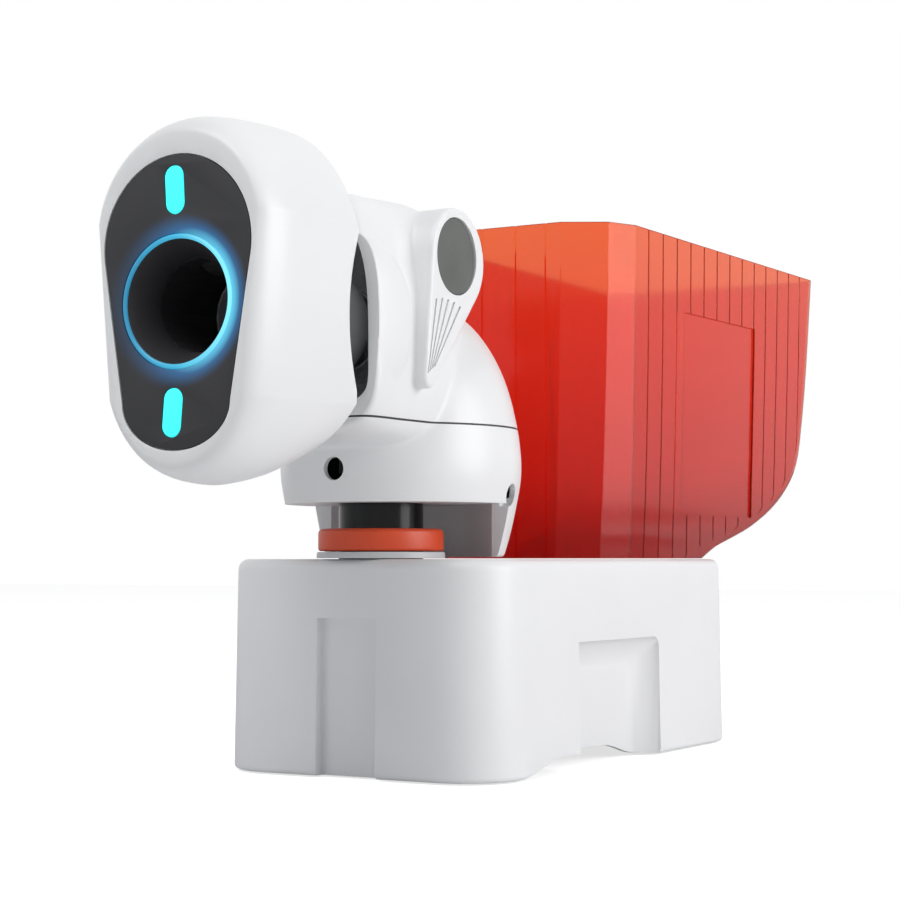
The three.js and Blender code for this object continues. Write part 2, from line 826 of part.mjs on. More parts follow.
// Body.
let lowerBody = turret.intersect(below).subtract(bar("z", neckHole, 0, seamHeight, 0, swivelY));
const bandTall = seamHeight - bodyFloor;
const plugRadius = bandTall * plugRadiusShare;
const plugZ = bodyFloor + bandTall * plugHeightShare;
const sidePlugZ = bodyFloor + bandTall * sidePlugHeightShare;
const sidePlugStart = bodyRadius - 3 * bodyWall;
lowerBody = lowerBody.subtract(bar("y", plugRadius, -baseTop, swivelY, 0, plugZ));
lowerBody = lowerBody.subtract(bar("x", plugRadius, sidePlugStart, baseWidth, bodyY + plugBack, sidePlugZ));
add("lower_body_shell", lowerBody, white);

// Dark line between the two shells, set in a little.
const seamSlab = block(-far, far, -far, far, seamHeight - seamHalf, seamHeight + seamHalf);
const seamTrim = bodyForm(seamSink).add(hoodForm(seamSink)).intersect(seamSlab).subtract(bodyForm(bodyWall)).subtract(hoodForm(bodyWall));
add("seam_trim", seamTrim, dark);

// Hood with round mouth, axle bosses and the recesses of the ear discs.
let upperBody = turret.intersect(above);
const boss = bar("x", bossRadius, bossInner, baseWidth / 2, tiltY, tiltZ).intersect(hoodForm(bodyWall / 2));
upperBody = upperBody.add(boss).add(mirrored(boss));
const mouthOutline = [];
for (let i = 0; i < roundSteps * 2; i++) {
  const angle = (Math.PI * i) / roundSteps;
  const tall = Math.sin(angle) > 0 ? hoodMouthTop + hoodMouthLevel : hoodMouthFoot - hoodMouthLevel;
  const power = Math.sin(angle) > 0 ? hoodPowerShare : hoodFootPowerShare;
  mouthOutline.push([
    hoodMouthHalf * Math.sign(Math.cos(angle)) * Math.abs(Math.cos(angle)) ** power,
    tiltZ - hoodMouthLevel + tall * Math.sign(Math.sin(angle)) * Math.abs(Math.sin(angle)) ** power,
  ]);
}
const mouthCut = facePlate(mouthOutline, headFront, tiltY);
upperBody = upperBody.subtract(mouthCut);
const axleHole = bar("x", axleRadius + fitGap, 0, axleEnd + fitGap, tiltY, tiltZ);
upperBody = upperBody.subtract(axleHole).subtract(mirrored(axleHole));
const discSeat = bar("x", earDiscRadius + fitGap, earFace - earDiscSink - earDiscThick, earFace + bodyWall, earDiscY, earDiscZ);
upperBody = upperBody.subtract(discSeat).subtract(mirrored(discSeat));
add("upper_body_shell", upperBody, white);
const discFloor = earFace - earDiscSink - earDiscThick + fitGap;
const disc = bar("x", earDiscRadius, discFloor, earFace - earDiscSink, earDiscY, earDiscZ);
add("ear_disc_right", disc, grey);
add("ear_disc_left", mirrored(disc), grey);

// Tilt drum with its barrel and axle stubs.
const drumProfile = [];
for (let i = 0; i <= roundSteps / 2; i++) {
  const angle = -Math.PI / 2 + (i / (roundSteps / 2)) * Math.PI;
  drumProfile.push([drumRadius * Math.cos(angle), drumRadius * Math.sin(angle)]);
}
const ball = new THREE.LatheGeometry(
  drumProfile.map(([radius, height]) => new THREE.Vector2(Math.max(radius, 0), height)),
  roundSteps,
);
ball.translate(0, tiltY, tiltZ);
let drum = solid(ball);
drum = drum.subtract(block(-far, far, tiltY + drumRear, far, -far, 2 * far));
drum = drum.add(bar("y", barrelRadius, barrelEnd, tiltY, 0, tiltZ));
drum = drum.add(bar("x", axleRadius, -axleEnd, axleEnd, tiltY, tiltZ));
drum = drum.subtract(bar("y", ballBore, headFront, far, 0, tiltZ));
drum = drum.subtract(bar("y", ballBore, tiltY, tiltY + drumRear + fitGap, 0, tiltZ, ballBore + drumRear / 5));
add("tilt_drum", drum, pale);

// Servo housings on the floor of the body.
const servoFloor = floorTop + fitGap;
for (const [name, side] of [["yaw_servo", 1], ["tilt_servo", -1]]) {
  const x = side * servoX;
  add(
    name,
    block(x - servoWidth / 2, x + servoWidth / 2, servoY - servoDepth / 2, servoY + servoDepth / 2, servoFloor, servoFloor + servoHeight),
    dark,
  );
}

// HEAD

// Cross-section of the head at one depth: round crown and chin that meet the straight sides at a crease.
function headRing(y, depthShare, upperHalf, lowerHalf, top, bottom) {
  const ring = [];
  const crown = Math.asin(crownFrontShare + (crownRearShare - crownFrontShare) * depthShare);
  const chin = Math.asin(chinFrontShare + (chinRearShare - chinFrontShare) * depthShare);
  for (const [arc, half, crease, end] of [
    [crown, upperHalf, headUpperCrease, top],
    [chin, -lowerHalf, headLowerCrease, bottom],
  ]) {
    for (let i = 0; i <= roundSteps / 2; i++) {
      const angle = arc - (2 * arc * i) / (roundSteps / 2);
      const share = (Math.cos(angle) - Math.cos(arc)) / (1 - Math.cos(arc));
      ring.push([(half * Math.sin(angle)) / Math.sin(arc), y, crease + (end - crease) * share]);
    }
  }
  return ring;
}

function headForm(inset) {
  const last = headFormShares.length - 1;
  return loft(
    headFormShares.map(([depthShare, drawnShare, narrowShare, dropShare, riseShare], index) => {
      const shift = index === 0 ? inset : 0;
      const back = index === last ? -inset : 0;
      const y = headFront + (headRear - headFront) * depthShare + shift + back;
      const half = headHalfWidth - headRound * drawnShare - inset;
      const top = headTop - headCrownDrop * dropShare - inset;
      const bottom = headBottom + headChinRise * riseShare + inset;
      return headRing(y, depthShare, half, half - headChinNarrow * narrowShare, top, bottom);
    }),
  );
}

// Outline of the dark panel as [x, z]: a round upper lobe, straight sides and a flatter lower arc.
function panelOutline(grow) {
  const outline = [];
  const round = panelUpperRadius + grow;
  const half = panelLowerHalf + grow;
  const drop = panelUpperZ - panelLowerZ;
  const open = Math.acos(round / Math.hypot(half, drop)) - Math.atan2(drop, half);
  for (let i = 0; i <= roundSteps; i++) {
    const angle = open + ((Math.PI - 2 * open) * i) / roundSteps;
    outline.push([round * Math.cos(angle), panelUpperZ + round * Math.sin(angle)]);
  }
  for (let i = 0; i <= roundSteps / 2; i++) {
    const angle = Math.PI + (Math.PI * i) / (roundSteps / 2);
    outline.push([half * Math.cos(angle), panelLowerZ + (panelLowerTall + grow) * Math.sin(angle)]);
  }
  return outline;
}

// Outline [x, z] pushed along y.
function facePlate(outline, from, to) {
  const shape = new THREE.Shape(outline.map(([a, b]) => new THREE.Vector2(a, b)));
  const geometry = new THREE.ExtrudeGeometry(shape, { depth: to - from, bevelEnabled: false });
  geometry.rotateX(Math.PI / 2).translate(0, to, 0);
  return solid(geometry);
}

function pill(halfWidth, halfHeight, z) {
  const outline = [];
  for (const up of [1, -1]) {
    for (let i = 0; i <= cornerSteps; i++) {
      const angle = (up > 0 ? 0 : Math.PI) + (i / cornerSteps) * Math.PI;
      outline.push([halfWidth * Math.cos(angle), z + up * (halfHeight - halfWidth) + halfWidth * Math.sin(angle)]);
    }
  }
  return outline;
}

const panelBack = headFront + panelThick;
const seatBack = panelBack + fitGap;
const headArcY = headRear - headArcDepth + headArcRadius;
const scallop = bar("x", headArcRadius, -far, far, headArcY, tiltZ);
const scallopGrown = bar("x", headArcRadius + headWall, -far, far, headArcY, tiltZ);
const panelBacking = facePlate(panelOutline(headWall), headFront - headWall, seatBack + headWall);
const headInside = headForm(headWall).subtract(panelBacking).subtract(scallopGrown);
let headShell = headForm(0).subtract(scallop).subtract(headInside);
headShell = headShell.subtract(facePlate(panelOutline(fitGap), headFront - headWall, seatBack));
headShell = headShell.subtract(bar("y", mouthRadius + mouthWall + fitGap, headFront - headWall, wheelY, 0, tiltZ));
headShell = headShell.subtract(bar("y", barrelRadius + fitGap, wheelY, 0, 0, tiltZ));
headShell = headShell.subtract(bar("z", headPlugRadius + fitGap, headBottom - headWall, headBottom + headWall * 3, 0, headPlugY));
add("head_shell", headShell, white);

let panel = facePlate(panelOutline(0), headFront + panelProud, panelBack);
const lightSeat = lightOuter + fitGap;
panel = panel.subtract(bar("y", lightSeat, headFront - headWall, seatBack, 0, tiltZ));
for (const z of [ledUpperZ, ledLowerZ]) {
  panel = panel.subtract(facePlate(pill(ledHalfWidth + fitGap, ledHalfHeight + fitGap, z), headFront - headWall, seatBack));
}
add("face_panel", panel, dark);
add("led_upper", facePlate(pill(ledHalfWidth, ledHalfHeight, ledUpperZ), headFront + panelProud, panelBack), cyan);
add("led_lower", facePlate(pill(ledHalfWidth, ledHalfHeight, ledLowerZ), headFront + panelProud, panelBack), cyan);
const lightInner = mouthRadius + mouthWall + fitGap;
add("light_ring", tube("y", lightOuter, lightInner - tubeWall, headFront, headFront + lightThick, 0, tiltZ), cyan);

// Funnel from the wide mouth to the ball guide.
const funnelStart = headFront + lightThick + fitGap;
const funnelEnd = headFront + mouthDepth;
let funnel = bar("y", mouthRadius + mouthWall, funnelStart, funnelEnd, 0, tiltZ, mouthInner + mouthWall);
funnel = funnel.subtract(bar("y", mouthRadius, funnelStart, funnelEnd, 0, tiltZ, mouthInner));
add("mouth_funnel", funnel, dark);

// Ball guide with the bracket that carries both motors.
let guide = tube("y", mouthInner + mouthWall, mouthInner, funnelEnd + fitGap, guideEnd, 0, tiltZ);
const bracketHigh = wheelLift + motorRadius;
const bracketBody = block(bracketStart, bracketStart + bracketThick, guideStart, guideEnd - mouthWall, tiltZ - bracketHigh, tiltZ + bracketHigh);
guide = guide.add(bracketBody).subtract(bar("y", mouthInner, headFront, 0, 0, tiltZ));
for (const side of [-1, 1]) {
  const z = tiltZ + side * wheelLift;
  guide = guide.subtract(bar("x", wheelRadius + wheelRoom, -wheelHalfWidth - wheelRoom, wheelHalfWidth + wheelRoom, wheelY, z));
  guide = guide.subtract(bar("x", shaftRadius + fitGap, 0, motorEnd, wheelY, z));
}
add("ball_guide", guide, pale);

for (const [name, side] of [["upper", 1], ["lower", -1]]) {
  const z = tiltZ + side * wheelLift;
  add(
    `throw_hub_${name}`,
    tube("x", wheelHub, shaftRadius + fitGap, -wheelHalfWidth, wheelHalfWidth, wheelY, z),
    pale,
  );
  add(
    `throw_tyre_${name}`,
    tube("x", wheelRadius, wheelHub + fitGap, -wheelHalfWidth, wheelHalfWidth, wheelY, z),
    dark,
  );
  const can = bar("x", motorRadius, motorStart, motorEnd, wheelY, z);
  add(`throw_motor_${name}`, can.add(bar("x", shaftRadius, -wheelHalfWidth, motorEnd - wheelRoom, wheelY, z)), steel);
}

// HOPPER

function hopperRing([heightShare, rearShare, halfShare], inset) {
  const height = hopperBottom + (hopperTop - hopperBottom) * heightShare;
  const rear = hopperFloorRear + (hopperRear - hopperFloorRear) * rearShare;
  const half = hopperHalf * halfShare;
  const front = hopperFront + inset;
  const side = half - inset;
  const back = rear - inset;
  const flat = hopperFlatHalf * halfShare - inset / 3;
  const nose = hopperNoseHalf * halfShare - inset / 2;
  const cheekHalf = side - (hopperHalf - hopperCheekHalf) * halfShare * (1 + heightShare) / 2;
  const round = hopperRearRound - inset;
  const ring = [];
  const frontEdge = [
    [flat, front],
    [nose, front + hopperNoseBack],
    [cheekHalf, front + hopperCheekBack],
  ];
  for (const [x, y] of frontEdge) ring.push([x, y, height]);
  ring.push([side, back - round, height], [side - round / 3, back - round / 3, height], [side - round, back, height]);
  const other = ring.map(([x, y, z]) => [-x, y, z]).reverse();
  return ring.concat(other);
}

function hopperForm(inset) {
  const rings = hopperFormShares.map((section) => hopperRing(section, inset));
  if (inset > 0) {
    rings.unshift(rings[0].map(([x, y, z]) => [x, y, z - inset]));
    const last = rings[rings.length - 1];
    rings.push(last.map(([x, y, z]) => [x, y, z + inset]));
  }
  return loft(rings);
}

let hopper = hopperForm(0).subtract(hopperForm(hopperWall));
const doorBlock = block(hopperCheekHalf, baseWidth, doorStart, doorStart + doorDepth, doorBottom, doorTop);
const doorCut = doorBlock.subtract(hopperForm(doorSink));
hopper = hopper.subtract(doorCut).subtract(mirrored(doorCut));
add("hopper", hopper, amber, { transparent: true, opacity: 0.55 });

// ELECTRICS

const boardFloor = plateTop + boardLift;
let board = block(-boardWidth / 2, boardWidth / 2, boardY, boardY + boardDepth, boardFloor, boardFloor + boardThick);
for (const side of [-1, 1]) {
  for (const y of [boardY + standoffRadius * 2, boardY + boardDepth - standoffRadius * 2]) {
    const x = side * (boardWidth / 2 - standoffRadius * 2);
    board = board.add(bar("z", standoffRadius, plateTop + fitGap, boardFloor + boardThick / 2, x, y));
  }
}
add("control_board", board, green);

let inlet = bar("y", inletRadius, baseDepth - switchDepth, baseDepth, inletX, inletZ);
inlet = inlet.subtract(bar("y", inletRadius / 2, baseDepth - switchDepth / 2, baseDepth + fitGap, inletX, inletZ));
add("power_inlet", inlet, dark);

let frame = block(
  switchX - switchHalf,
  switchX + switchHalf,
  baseDepth - switchDepth,
  baseDepth,
  switchZ - switchTall,
  switchZ + switchTall,
);
frame = frame.subtract(
  block(
    switchX - switchHalf + switchWall,
    switchX + switchHalf - switchWall,
    baseDepth - switchDepth + switchWall,
    baseDepth + fitGap,
    switchZ - switchTall + switchWall,
    switchZ + switchTall - switchWall,
  ),
);
add("switch_frame", frame, dark);
const rockerHalf = switchHalf - switchWall - fitGap;
const rockerTall = switchTall - switchWall - 3 * fitGap;
const rockerOutline = [
  [baseDepth - switchDepth / 2, switchZ - rockerTall / 3],
  [baseDepth - rockerTilt / 2, switchZ - rockerTall],
  [baseDepth + rockerTilt / 4, switchZ - rockerTall],
  [baseDepth - rockerTilt / 3, switchZ],
  [baseDepth + rockerTilt / 4, switchZ + rockerTall],
  [baseDepth - rockerTilt / 2, switchZ + rockerTall],
  [baseDepth - switchDepth / 2, switchZ + rockerTall / 3],
];
add("switch_rocker", plate(rockerOutline, switchX - rockerHalf, switchX + rockerHalf), [0.5, 0.05, 0.04]);

export default group;
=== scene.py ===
import bpy
import bmesh
import math
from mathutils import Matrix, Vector


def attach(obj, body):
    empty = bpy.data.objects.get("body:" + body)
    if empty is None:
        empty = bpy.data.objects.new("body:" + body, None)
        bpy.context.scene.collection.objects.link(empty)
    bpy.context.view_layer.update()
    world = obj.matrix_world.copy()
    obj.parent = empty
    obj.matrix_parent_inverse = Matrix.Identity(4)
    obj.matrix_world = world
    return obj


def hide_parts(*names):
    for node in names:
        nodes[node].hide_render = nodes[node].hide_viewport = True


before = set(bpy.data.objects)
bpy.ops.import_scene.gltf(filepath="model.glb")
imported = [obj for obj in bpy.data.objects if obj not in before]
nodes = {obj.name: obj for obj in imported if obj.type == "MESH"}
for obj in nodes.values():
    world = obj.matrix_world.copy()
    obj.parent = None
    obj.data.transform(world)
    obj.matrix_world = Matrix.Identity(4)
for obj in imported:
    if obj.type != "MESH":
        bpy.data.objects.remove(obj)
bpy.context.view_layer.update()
scene = bpy.context.scene

# Lengths below are in drawing units of 1.12 mm, depth counted from the front face of the base.
UNIT = 0.00112
MIDDLE = 151.7

# Axes that several pieces share. The two numbers are the places on the other two axes, in the order
# x, depth, level.
MOUTH = (0.0, 204.5)
SCALLOP = (17.0, 204.5)
SWIVEL = (0.0, 31.0)
EAR_DISC = (12.5, 236.7)
FEED = (0.0, 207.0)
# The seam trim lies between these levels, and the shells end just inside them.
SEAM_LOW, SEAM_HIGH = 161.1, 162.1
BODY_WALL, BASE_WALL = 2.8, 2.6
HOPPER_FOOT, HOPPER_RIM = 100.4, 273


def place(point):
    x, t, z = point
    return Vector((x * UNIT, (t - MIDDLE) * UNIT, z * UNIT))


# ---------- mesh helpers

def make(name, points, faces):
    mesh = bpy.data.meshes.new(name)
    mesh.from_pydata([place(p) for p in points], [], faces)
    b = bmesh.new()
    b.from_mesh(mesh)
    bmesh.ops.remove_doubles(b, verts=b.verts, dist=1e-6)
    bmesh.ops.recalc_face_normals(b, faces=b.faces)
    b.to_mesh(mesh)
    b.free()
    piece = bpy.data.objects.new(name, mesh)
    scene.collection.objects.link(piece)
    return piece


def loft(name, rings, loop=False):
    """Skin over rings of equal count, with flat ends, or closed on itself."""
    count = len(rings[0])
    points = [p for ring in rings for p in ring]
    faces = []
    last = len(rings) if loop else len(rings) - 1
    for r in range(last):
        for i in range(count):
            j = (i + 1) % count
            a, b = r * count, ((r + 1) % len(rings)) * count
            faces.append((a + i, a + j, b + j, b + i))
    if not loop:
        faces.append(tuple(range(count)))
        faces.append(tuple(range((len(rings) - 1) * count, len(rings) * count)))
    return make(name, points, faces)


def turned(name, profile, axis, centre, steps=96, loop=True):
    """Body of revolution. profile is (radius, place along axis)."""
    rings = []
    for k in range(steps):
        a = 2 * math.pi * k / steps
        ring = []
        for radius, along in profile:
            u, v = radius * math.cos(a), radius * math.sin(a)
            if axis == "z":
                ring.append((centre[0] + u, centre[1] + v, along))
            elif axis == "y":
                ring.append((centre[0] + u, along, centre[1] + v))
            else:
                ring.append((along, centre[0] + u, centre[1] + v))
        rings.append(ring)
    count = len(profile)
    points = [p for ring in rings for p in ring]
    faces = []
    for r in range(steps):
        for i in range(count if loop else count - 1):
            j = (i + 1) % count
            a, b = r * count, ((r + 1) % steps) * count
            faces.append((a + i, a + j, b + j, b + i))
    piece = make(name, points, faces)
    b = bmesh.new()
    b.from_mesh(piece.data)
    bmesh.ops.dissolve_degenerate(b, dist=1e-7, edges=b.edges)
    bmesh.ops.recalc_face_normals(b, faces=b.faces)
    b.to_mesh(piece.data)
    b.free()
    return piece


def plate(name, outline, plane, low, high):
    """Flat outline pushed from low to high along the axis that is left out of plane."""
    def at(a, b, c):
        return (c, a, b) if plane == "tz" else (a, c, b) if plane == "xz" else (a, b, c)
    return loft(name, [[at(a, b, low) for a, b in outline], [at(a, b, high) for a, b in outline]])


def rod(radius, low, high, axis, centre, steps=96):
    """Round tool for a cut."""
    return turned("cut", [(0, low), (radius, low), (radius, high), (0, high)], axis, centre, steps)


def slab(name, x0, x1, t0, t1, z0, z1):
    return loft(name, [[(x0, t0, z0), (x1, t0, z0), (x1, t1, z0), (x0, t1, z0)],
                       [(x0, t0, z1), (x1, t0, z1), (x1, t1, z1), (x0, t1, z1)]])


def layer(z0, z1):
    """Tool that takes away all of the turret between two levels."""
    return slab("cut", -90, 90, -90, 190, z0, z1)


def bent(value, power):
    """Power of a number that keeps its sign, for outlines between a circle and a box."""
    return math.copysign(abs(value) ** power, value)


def settle(piece):
    """Applies the modifiers of a piece."""
    depsgraph = bpy.context.evaluated_depsgraph_get()
    mesh = bpy.data.meshes.new_from_object(piece.evaluated_get(depsgraph))
    piece.modifiers.clear()
    piece.data = mesh
    return piece


def combine(piece, other, how="DIFFERENCE", keep=False):
    m = piece.modifiers.new("combine", "BOOLEAN")
    m.operation = how
    m.solver = "EXACT"
    m.object = other
    settle(piece)
    if not keep:
        bpy.data.objects.remove(other)
    return piece


def remeshed(piece, voxel, smooth, factor):
    """Fuses and softens a piece."""
    m = piece.modifiers.new("voxels", "REMESH")
    m.mode = "VOXEL"
    m.voxel_size = voxel * UNIT
    s = piece.modifiers.new("smooth", "SMOOTH")
    s.iterations = smooth
    s.factor = factor
    return settle(piece)


def bevelled(piece, width, segments=3, angle=35):
    m = piece.modifiers.new("bevel", "BEVEL")
    m.width = width * UNIT
    m.segments = segments
    m.limit_method = "ANGLE"
    m.angle_limit = math.radians(angle)
    return settle(piece)


def shaded(piece, angle=35):
    """Smooth shading with sharp edges kept where faces meet at more than angle."""
    mesh = piece.data
    b = bmesh.new()
    b.from_mesh(mesh)
    limit = math.radians(angle)
    for face in b.faces:
        face.smooth = True
    for edge in b.edges:
        edge.smooth = len(edge.link_faces) == 2 and edge.calc_face_angle(0) < limit
    b.to_mesh(mesh)
    b.free()
    return piece


def spline(table, steps):
    """Rows of a table with smooth rows filled in between."""
    rows = []
    for i in range(len(table) - 1):
        p0 = table[max(i - 1, 0)]
        p1, p2 = table[i], table[i + 1]
        p3 = table[min(i + 2, len(table) - 1)]
        for k in range(steps):
            s = k / steps
            row = []
            for a, b, c, d in zip(p0, p1, p2, p3):
                m1, m2 = (c - a) / 2, (d - b) / 2
                if (c - b) * m1 <= 0:
                    m1 = 0
                if (c - b) * m2 <= 0:
                    m2 = 0
                h = s * s * s
                q = s * s
                row.append((2 * h - 3 * q + 1) * b + (h - 2 * q + s) * m1
                           + (3 * q - 2 * h) * c + (h - q) * m2)
            rows.append(row)
    rows.append(list(table[-1]))
    return rows


# ---------- materials

def material(name, colour, roughness, bump=0.0, bump_scale=900.0, tint=0.0, metallic=0.0, specular=0.5):
    """Moulded surface: faint colour drift, uneven gloss and a fine skin."""
    mottle = 0.06
    m = bpy.data.materials.new(name)
    m.use_nodes = True
    tree = m.node_tree
    links = tree.links
    shader = tree.nodes["Principled BSDF"]
    shader.inputs["Metallic"].default_value = metallic
    shader.inputs["Specular IOR Level"].default_value = specular
    where = tree.nodes.new("ShaderNodeTexCoord")
    drift = tree.nodes.new("ShaderNodeTexNoise")
    drift.inputs["Scale"].default_value = 28.0
    drift.inputs["Detail"].default_value = 2.0
    links.new(where.outputs["Object"], drift.inputs["Vector"])
    ramp = tree.nodes.new("ShaderNodeValToRGB")
    ramp.color_ramp.elements[0].position = 0.3
    ramp.color_ramp.elements[1].position = 0.7
    dark = [c * (1 - tint) for c in colour]
    ramp.color_ramp.elements[0].color = (*dark, 1)
    ramp.color_ramp.elements[1].color = (*colour, 1)
    links.new(drift.outputs["Fac"], ramp.inputs["Fac"])
    links.new(ramp.outputs["Color"], shader.inputs["Base Color"])
    gloss = tree.nodes.new("ShaderNodeMapRange")
    gloss.inputs["To Min"].default_value = max(roughness - mottle, 0.02)
    gloss.inputs["To Max"].default_value = roughness + mottle
    links.new(drift.outputs["Fac"], gloss.inputs["Value"])
    links.new(gloss.outputs["Result"], shader.inputs["Roughness"])
    if bump:
        skin = tree.nodes.new("ShaderNodeTexNoise")
        skin.inputs["Scale"].default_value = bump_scale
        skin.inputs["Detail"].default_value = 3.0
        links.new(where.outputs["Object"], skin.inputs["Vector"])
        raise_ = tree.nodes.new("ShaderNodeBump")
        raise_.inputs["Strength"].default_value = bump
        raise_.inputs["Distance"].default_value = 0.0004
        links.new(skin.outputs["Fac"], raise_.inputs["Height"])
        links.new(raise_.outputs["Normal"], shader.inputs["Normal"])
    return m


white = material("white_shell", (0.80, 0.81, 0.825), 0.36, bump=0.02, bump_scale=2400, tint=0.012)
base_white = material("base_white", (0.79, 0.80, 0.82), 0.4, bump=0.04, bump_scale=2600, tint=0.015)
pale = material("pale_plastic", (0.55, 0.56, 0.58), 0.42, bump=0.05, bump_scale=2000, tint=0.04)
charcoal = material("charcoal_plastic", (0.022, 0.020, 0.023), 0.5, bump=0.08, bump_scale=2600, tint=0.2)
trim_dark = material("seam_dark", (0.05, 0.05, 0.052), 0.6, bump=0.05, tint=0.1)
black_gloss = material("neck_gloss", (0.006, 0.007, 0.008), 0.18, bump=0.01, tint=0.2, specular=0.2)
ring_orange = material("ring_orange", (0.66, 0.062, 0.012), 0.42, bump=0.05, bump_scale=1800, tint=0.08)
rubber = material("rubber_tyre", (0.02, 0.02, 0.021), 0.8, bump=0.35, bump_scale=1500, tint=0.25)
steel = material("motor_steel", (0.5, 0.5, 0.52), 0.35, bump=0.05, tint=0.08, metallic=1.0)
board = material("board_mask", (0.02, 0.13, 0.05), 0.45, bump=0.05, tint=0.25)
rocker_red = material("rocker_red", (0.42, 0.02, 0.015), 0.3, bump=0.02, tint=0.08)


def glow(name, colour):
    m = bpy.data.materials.new(name)
    m.use_nodes = True
    tree = m.node_tree
    shader = tree.nodes["Principled BSDF"]
    shader.inputs["Roughness"].default_value = 0.3
    shader.inputs["Base Color"].default_value = (0.05, 0.6, 0.65, 1)
    shader.inputs["Emission Strength"].default_value = 1.0
    where = tree.nodes.new("ShaderNodeTexCoord")
    drift = tree.nodes.new("ShaderNodeTexNoise")
    drift.inputs["Scale"].default_value = 60.0
    tree.links.new(where.outputs["Object"], drift.inputs["Vector"])
    ramp = tree.nodes.new("ShaderNodeValToRGB")
    ramp.color_ramp.elements[0].color = (*[c * 0.94 for c in colour], 1)
    ramp.color_ramp.elements[1].color = (*colour, 1)
    tree.links.new(drift.outputs["Fac"], ramp.inputs["Fac"])
    tree.links.new(ramp.outputs["Color"], shader.inputs["Emission Color"])
    return m


led_glow = glow("led_glow", (0.02, 0.92, 0.92))


def dress(piece, mat, body, slot_name, *stands_for):
    """Gives a piece its material, its body and the solids that it stands for; the slot name is not used."""
    piece.data.materials.clear()
    piece.data.materials.append(mat)
    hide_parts(*stands_for)
    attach(piece, body)
    return piece


def repaint(node, mat):
    """Gives a solid that is carried over its material."""
    piece = nodes[node]
    piece.data.materials.clear()
    piece.data.materials.append(mat)


# ---------- camera

camera = bpy.data.objects.new("camera", bpy.data.cameras.new("camera"))
scene.collection.objects.link(camera)
scene.camera = camera
camera.data.lens = 82.16
camera.data.sensor_width = 36.0
camera.location = place((510.5, -788.4, 100.0))
camera.rotation_euler = (math.radians(93.04), 0.0, math.radians(30.0))
camera.data.clip_end = 20.0

# ---------- head

# Levels of the creases where crown and chin meet the sides.
HEAD_UP, HEAD_LOW = 239.0, 165.5
HEAD_FRONT, HEAD_LONG, HEAD_WALL = -126.6, 66.6, 2.6
SCALLOP_RADIUS = 85
MOUTH_RADIUS, REAR_BORE, HEAD_PLUG = 27.3, 22.9, 5.2
FACE_FRONT, FACE_BACK, PANEL_FLOOR = -126.4, -124.7, -124.4
# Half the reach of a cut across the robot.
ACROSS = 70
# Depth, half width above and below, top, underside.
HEAD_TABLE = [
    (-126.6, 37.9, 30.6, 272.2, 140.2), (-126.1, 40.2, 33.2, 274.8, 137.6), (-123.8, 42.4, 36.0, 277.4, 135.0),
    (-119.4, 44.3, 38.4, 280.2, 132.9), (-111.8, 45.8, 40.6, 282.6, 131.3), (-99, 46.5, 42.4, 284.4, 130.6),
    (-79, 46.7, 44.4, 285.9, 134), (-66, 46.6, 45.4, 285.93, 139.2), (-61.4, 46.3, 45.2, 285.8, 141),
    (-60.3, 45.7, 44.6, 285.2, 141.6), (-60.0, 44.9, 43.8, 284.4, 142.4)]


def head_ring(t, upper, lower, top, bottom, inset=0.0, count=72):
    """Round crown and chin that meet the straight sides at a crease."""
    share = min(max((t - HEAD_FRONT) / HEAD_LONG, 0), 1)
    ring = []
    for sine, half, crease, end in ((0.99 - 0.06 * share, upper - inset, HEAD_UP, top - inset),
                                    (0.93 - 0.11 * share, inset - lower, HEAD_LOW, bottom + inset)):
        arc = math.asin(sine)
        for i in range(count + 1):
            a = arc - 2 * arc * i / count
            part = (math.cos(a) - math.cos(arc)) / (1 - math.cos(arc))
            ring.append((half * math.sin(a) / sine, t, crease + (end - crease) * part))
    return ring


def panel_outline(grow=0.0, count=64):
    """Round upper lobe, straight sides and a flatter lower arc."""
    upper, half, level, foot, tall = 37.0 + grow, 27.0 + grow, 227.5, 163.5, 19.5 + grow
    lean = math.acos(upper / math.hypot(half, level - foot)) - math.atan2(level - foot, half)
    points = []
    for i in range(count + 1):
        a = lean + (math.pi - 2 * lean) * i / count
        points.append((upper * math.cos(a), level + upper * math.sin(a)))
    for i in range(count + 1):
        a = math.pi + math.pi * i / count
        points.append((half * math.cos(a), foot + tall * math.sin(a)))
    return points


head = loft("head_shell_skin", [head_ring(*row) for row in spline(HEAD_TABLE, 4)])
inside_rows = spline([(-122.5, 36, 29, 270, 142)] + HEAD_TABLE[3:-2], 3)
hollow = loft("cut", [head_ring(*row, HEAD_WALL) for row in inside_rows])
combine(hollow, rod(SCALLOP_RADIUS + HEAD_WALL, -ACROSS, ACROSS, "x", SCALLOP, 256))
combine(head, hollow)
combine(head, rod(SCALLOP_RADIUS, -ACROSS, ACROSS, "x", SCALLOP, 256))
combine(head, plate("cut", panel_outline(0.4), "xz", -137.0, PANEL_FLOOR))
combine(head, rod(MOUTH_RADIUS, -130, -100, "y", MOUTH))
combine(head, rod(REAR_BORE, -80, -40, "y", MOUTH))
combine(head, rod(HEAD_PLUG, 125, 145, "z", (0.0, -92.0), 48))
shaded(bevelled(head, 0.5, 2, 40), 40)
dress(head, white, "head", "white_gloss", "head_shell")

# The dark face has a painted glow of the light ring in its material, painted brighter towards the right side.
face = plate("face_panel_skin", panel_outline(-0.1), "xz", FACE_FRONT, FACE_BACK)
combine(face, rod(MOUTH_RADIUS + 0.6, -130, -120, "y", MOUTH))


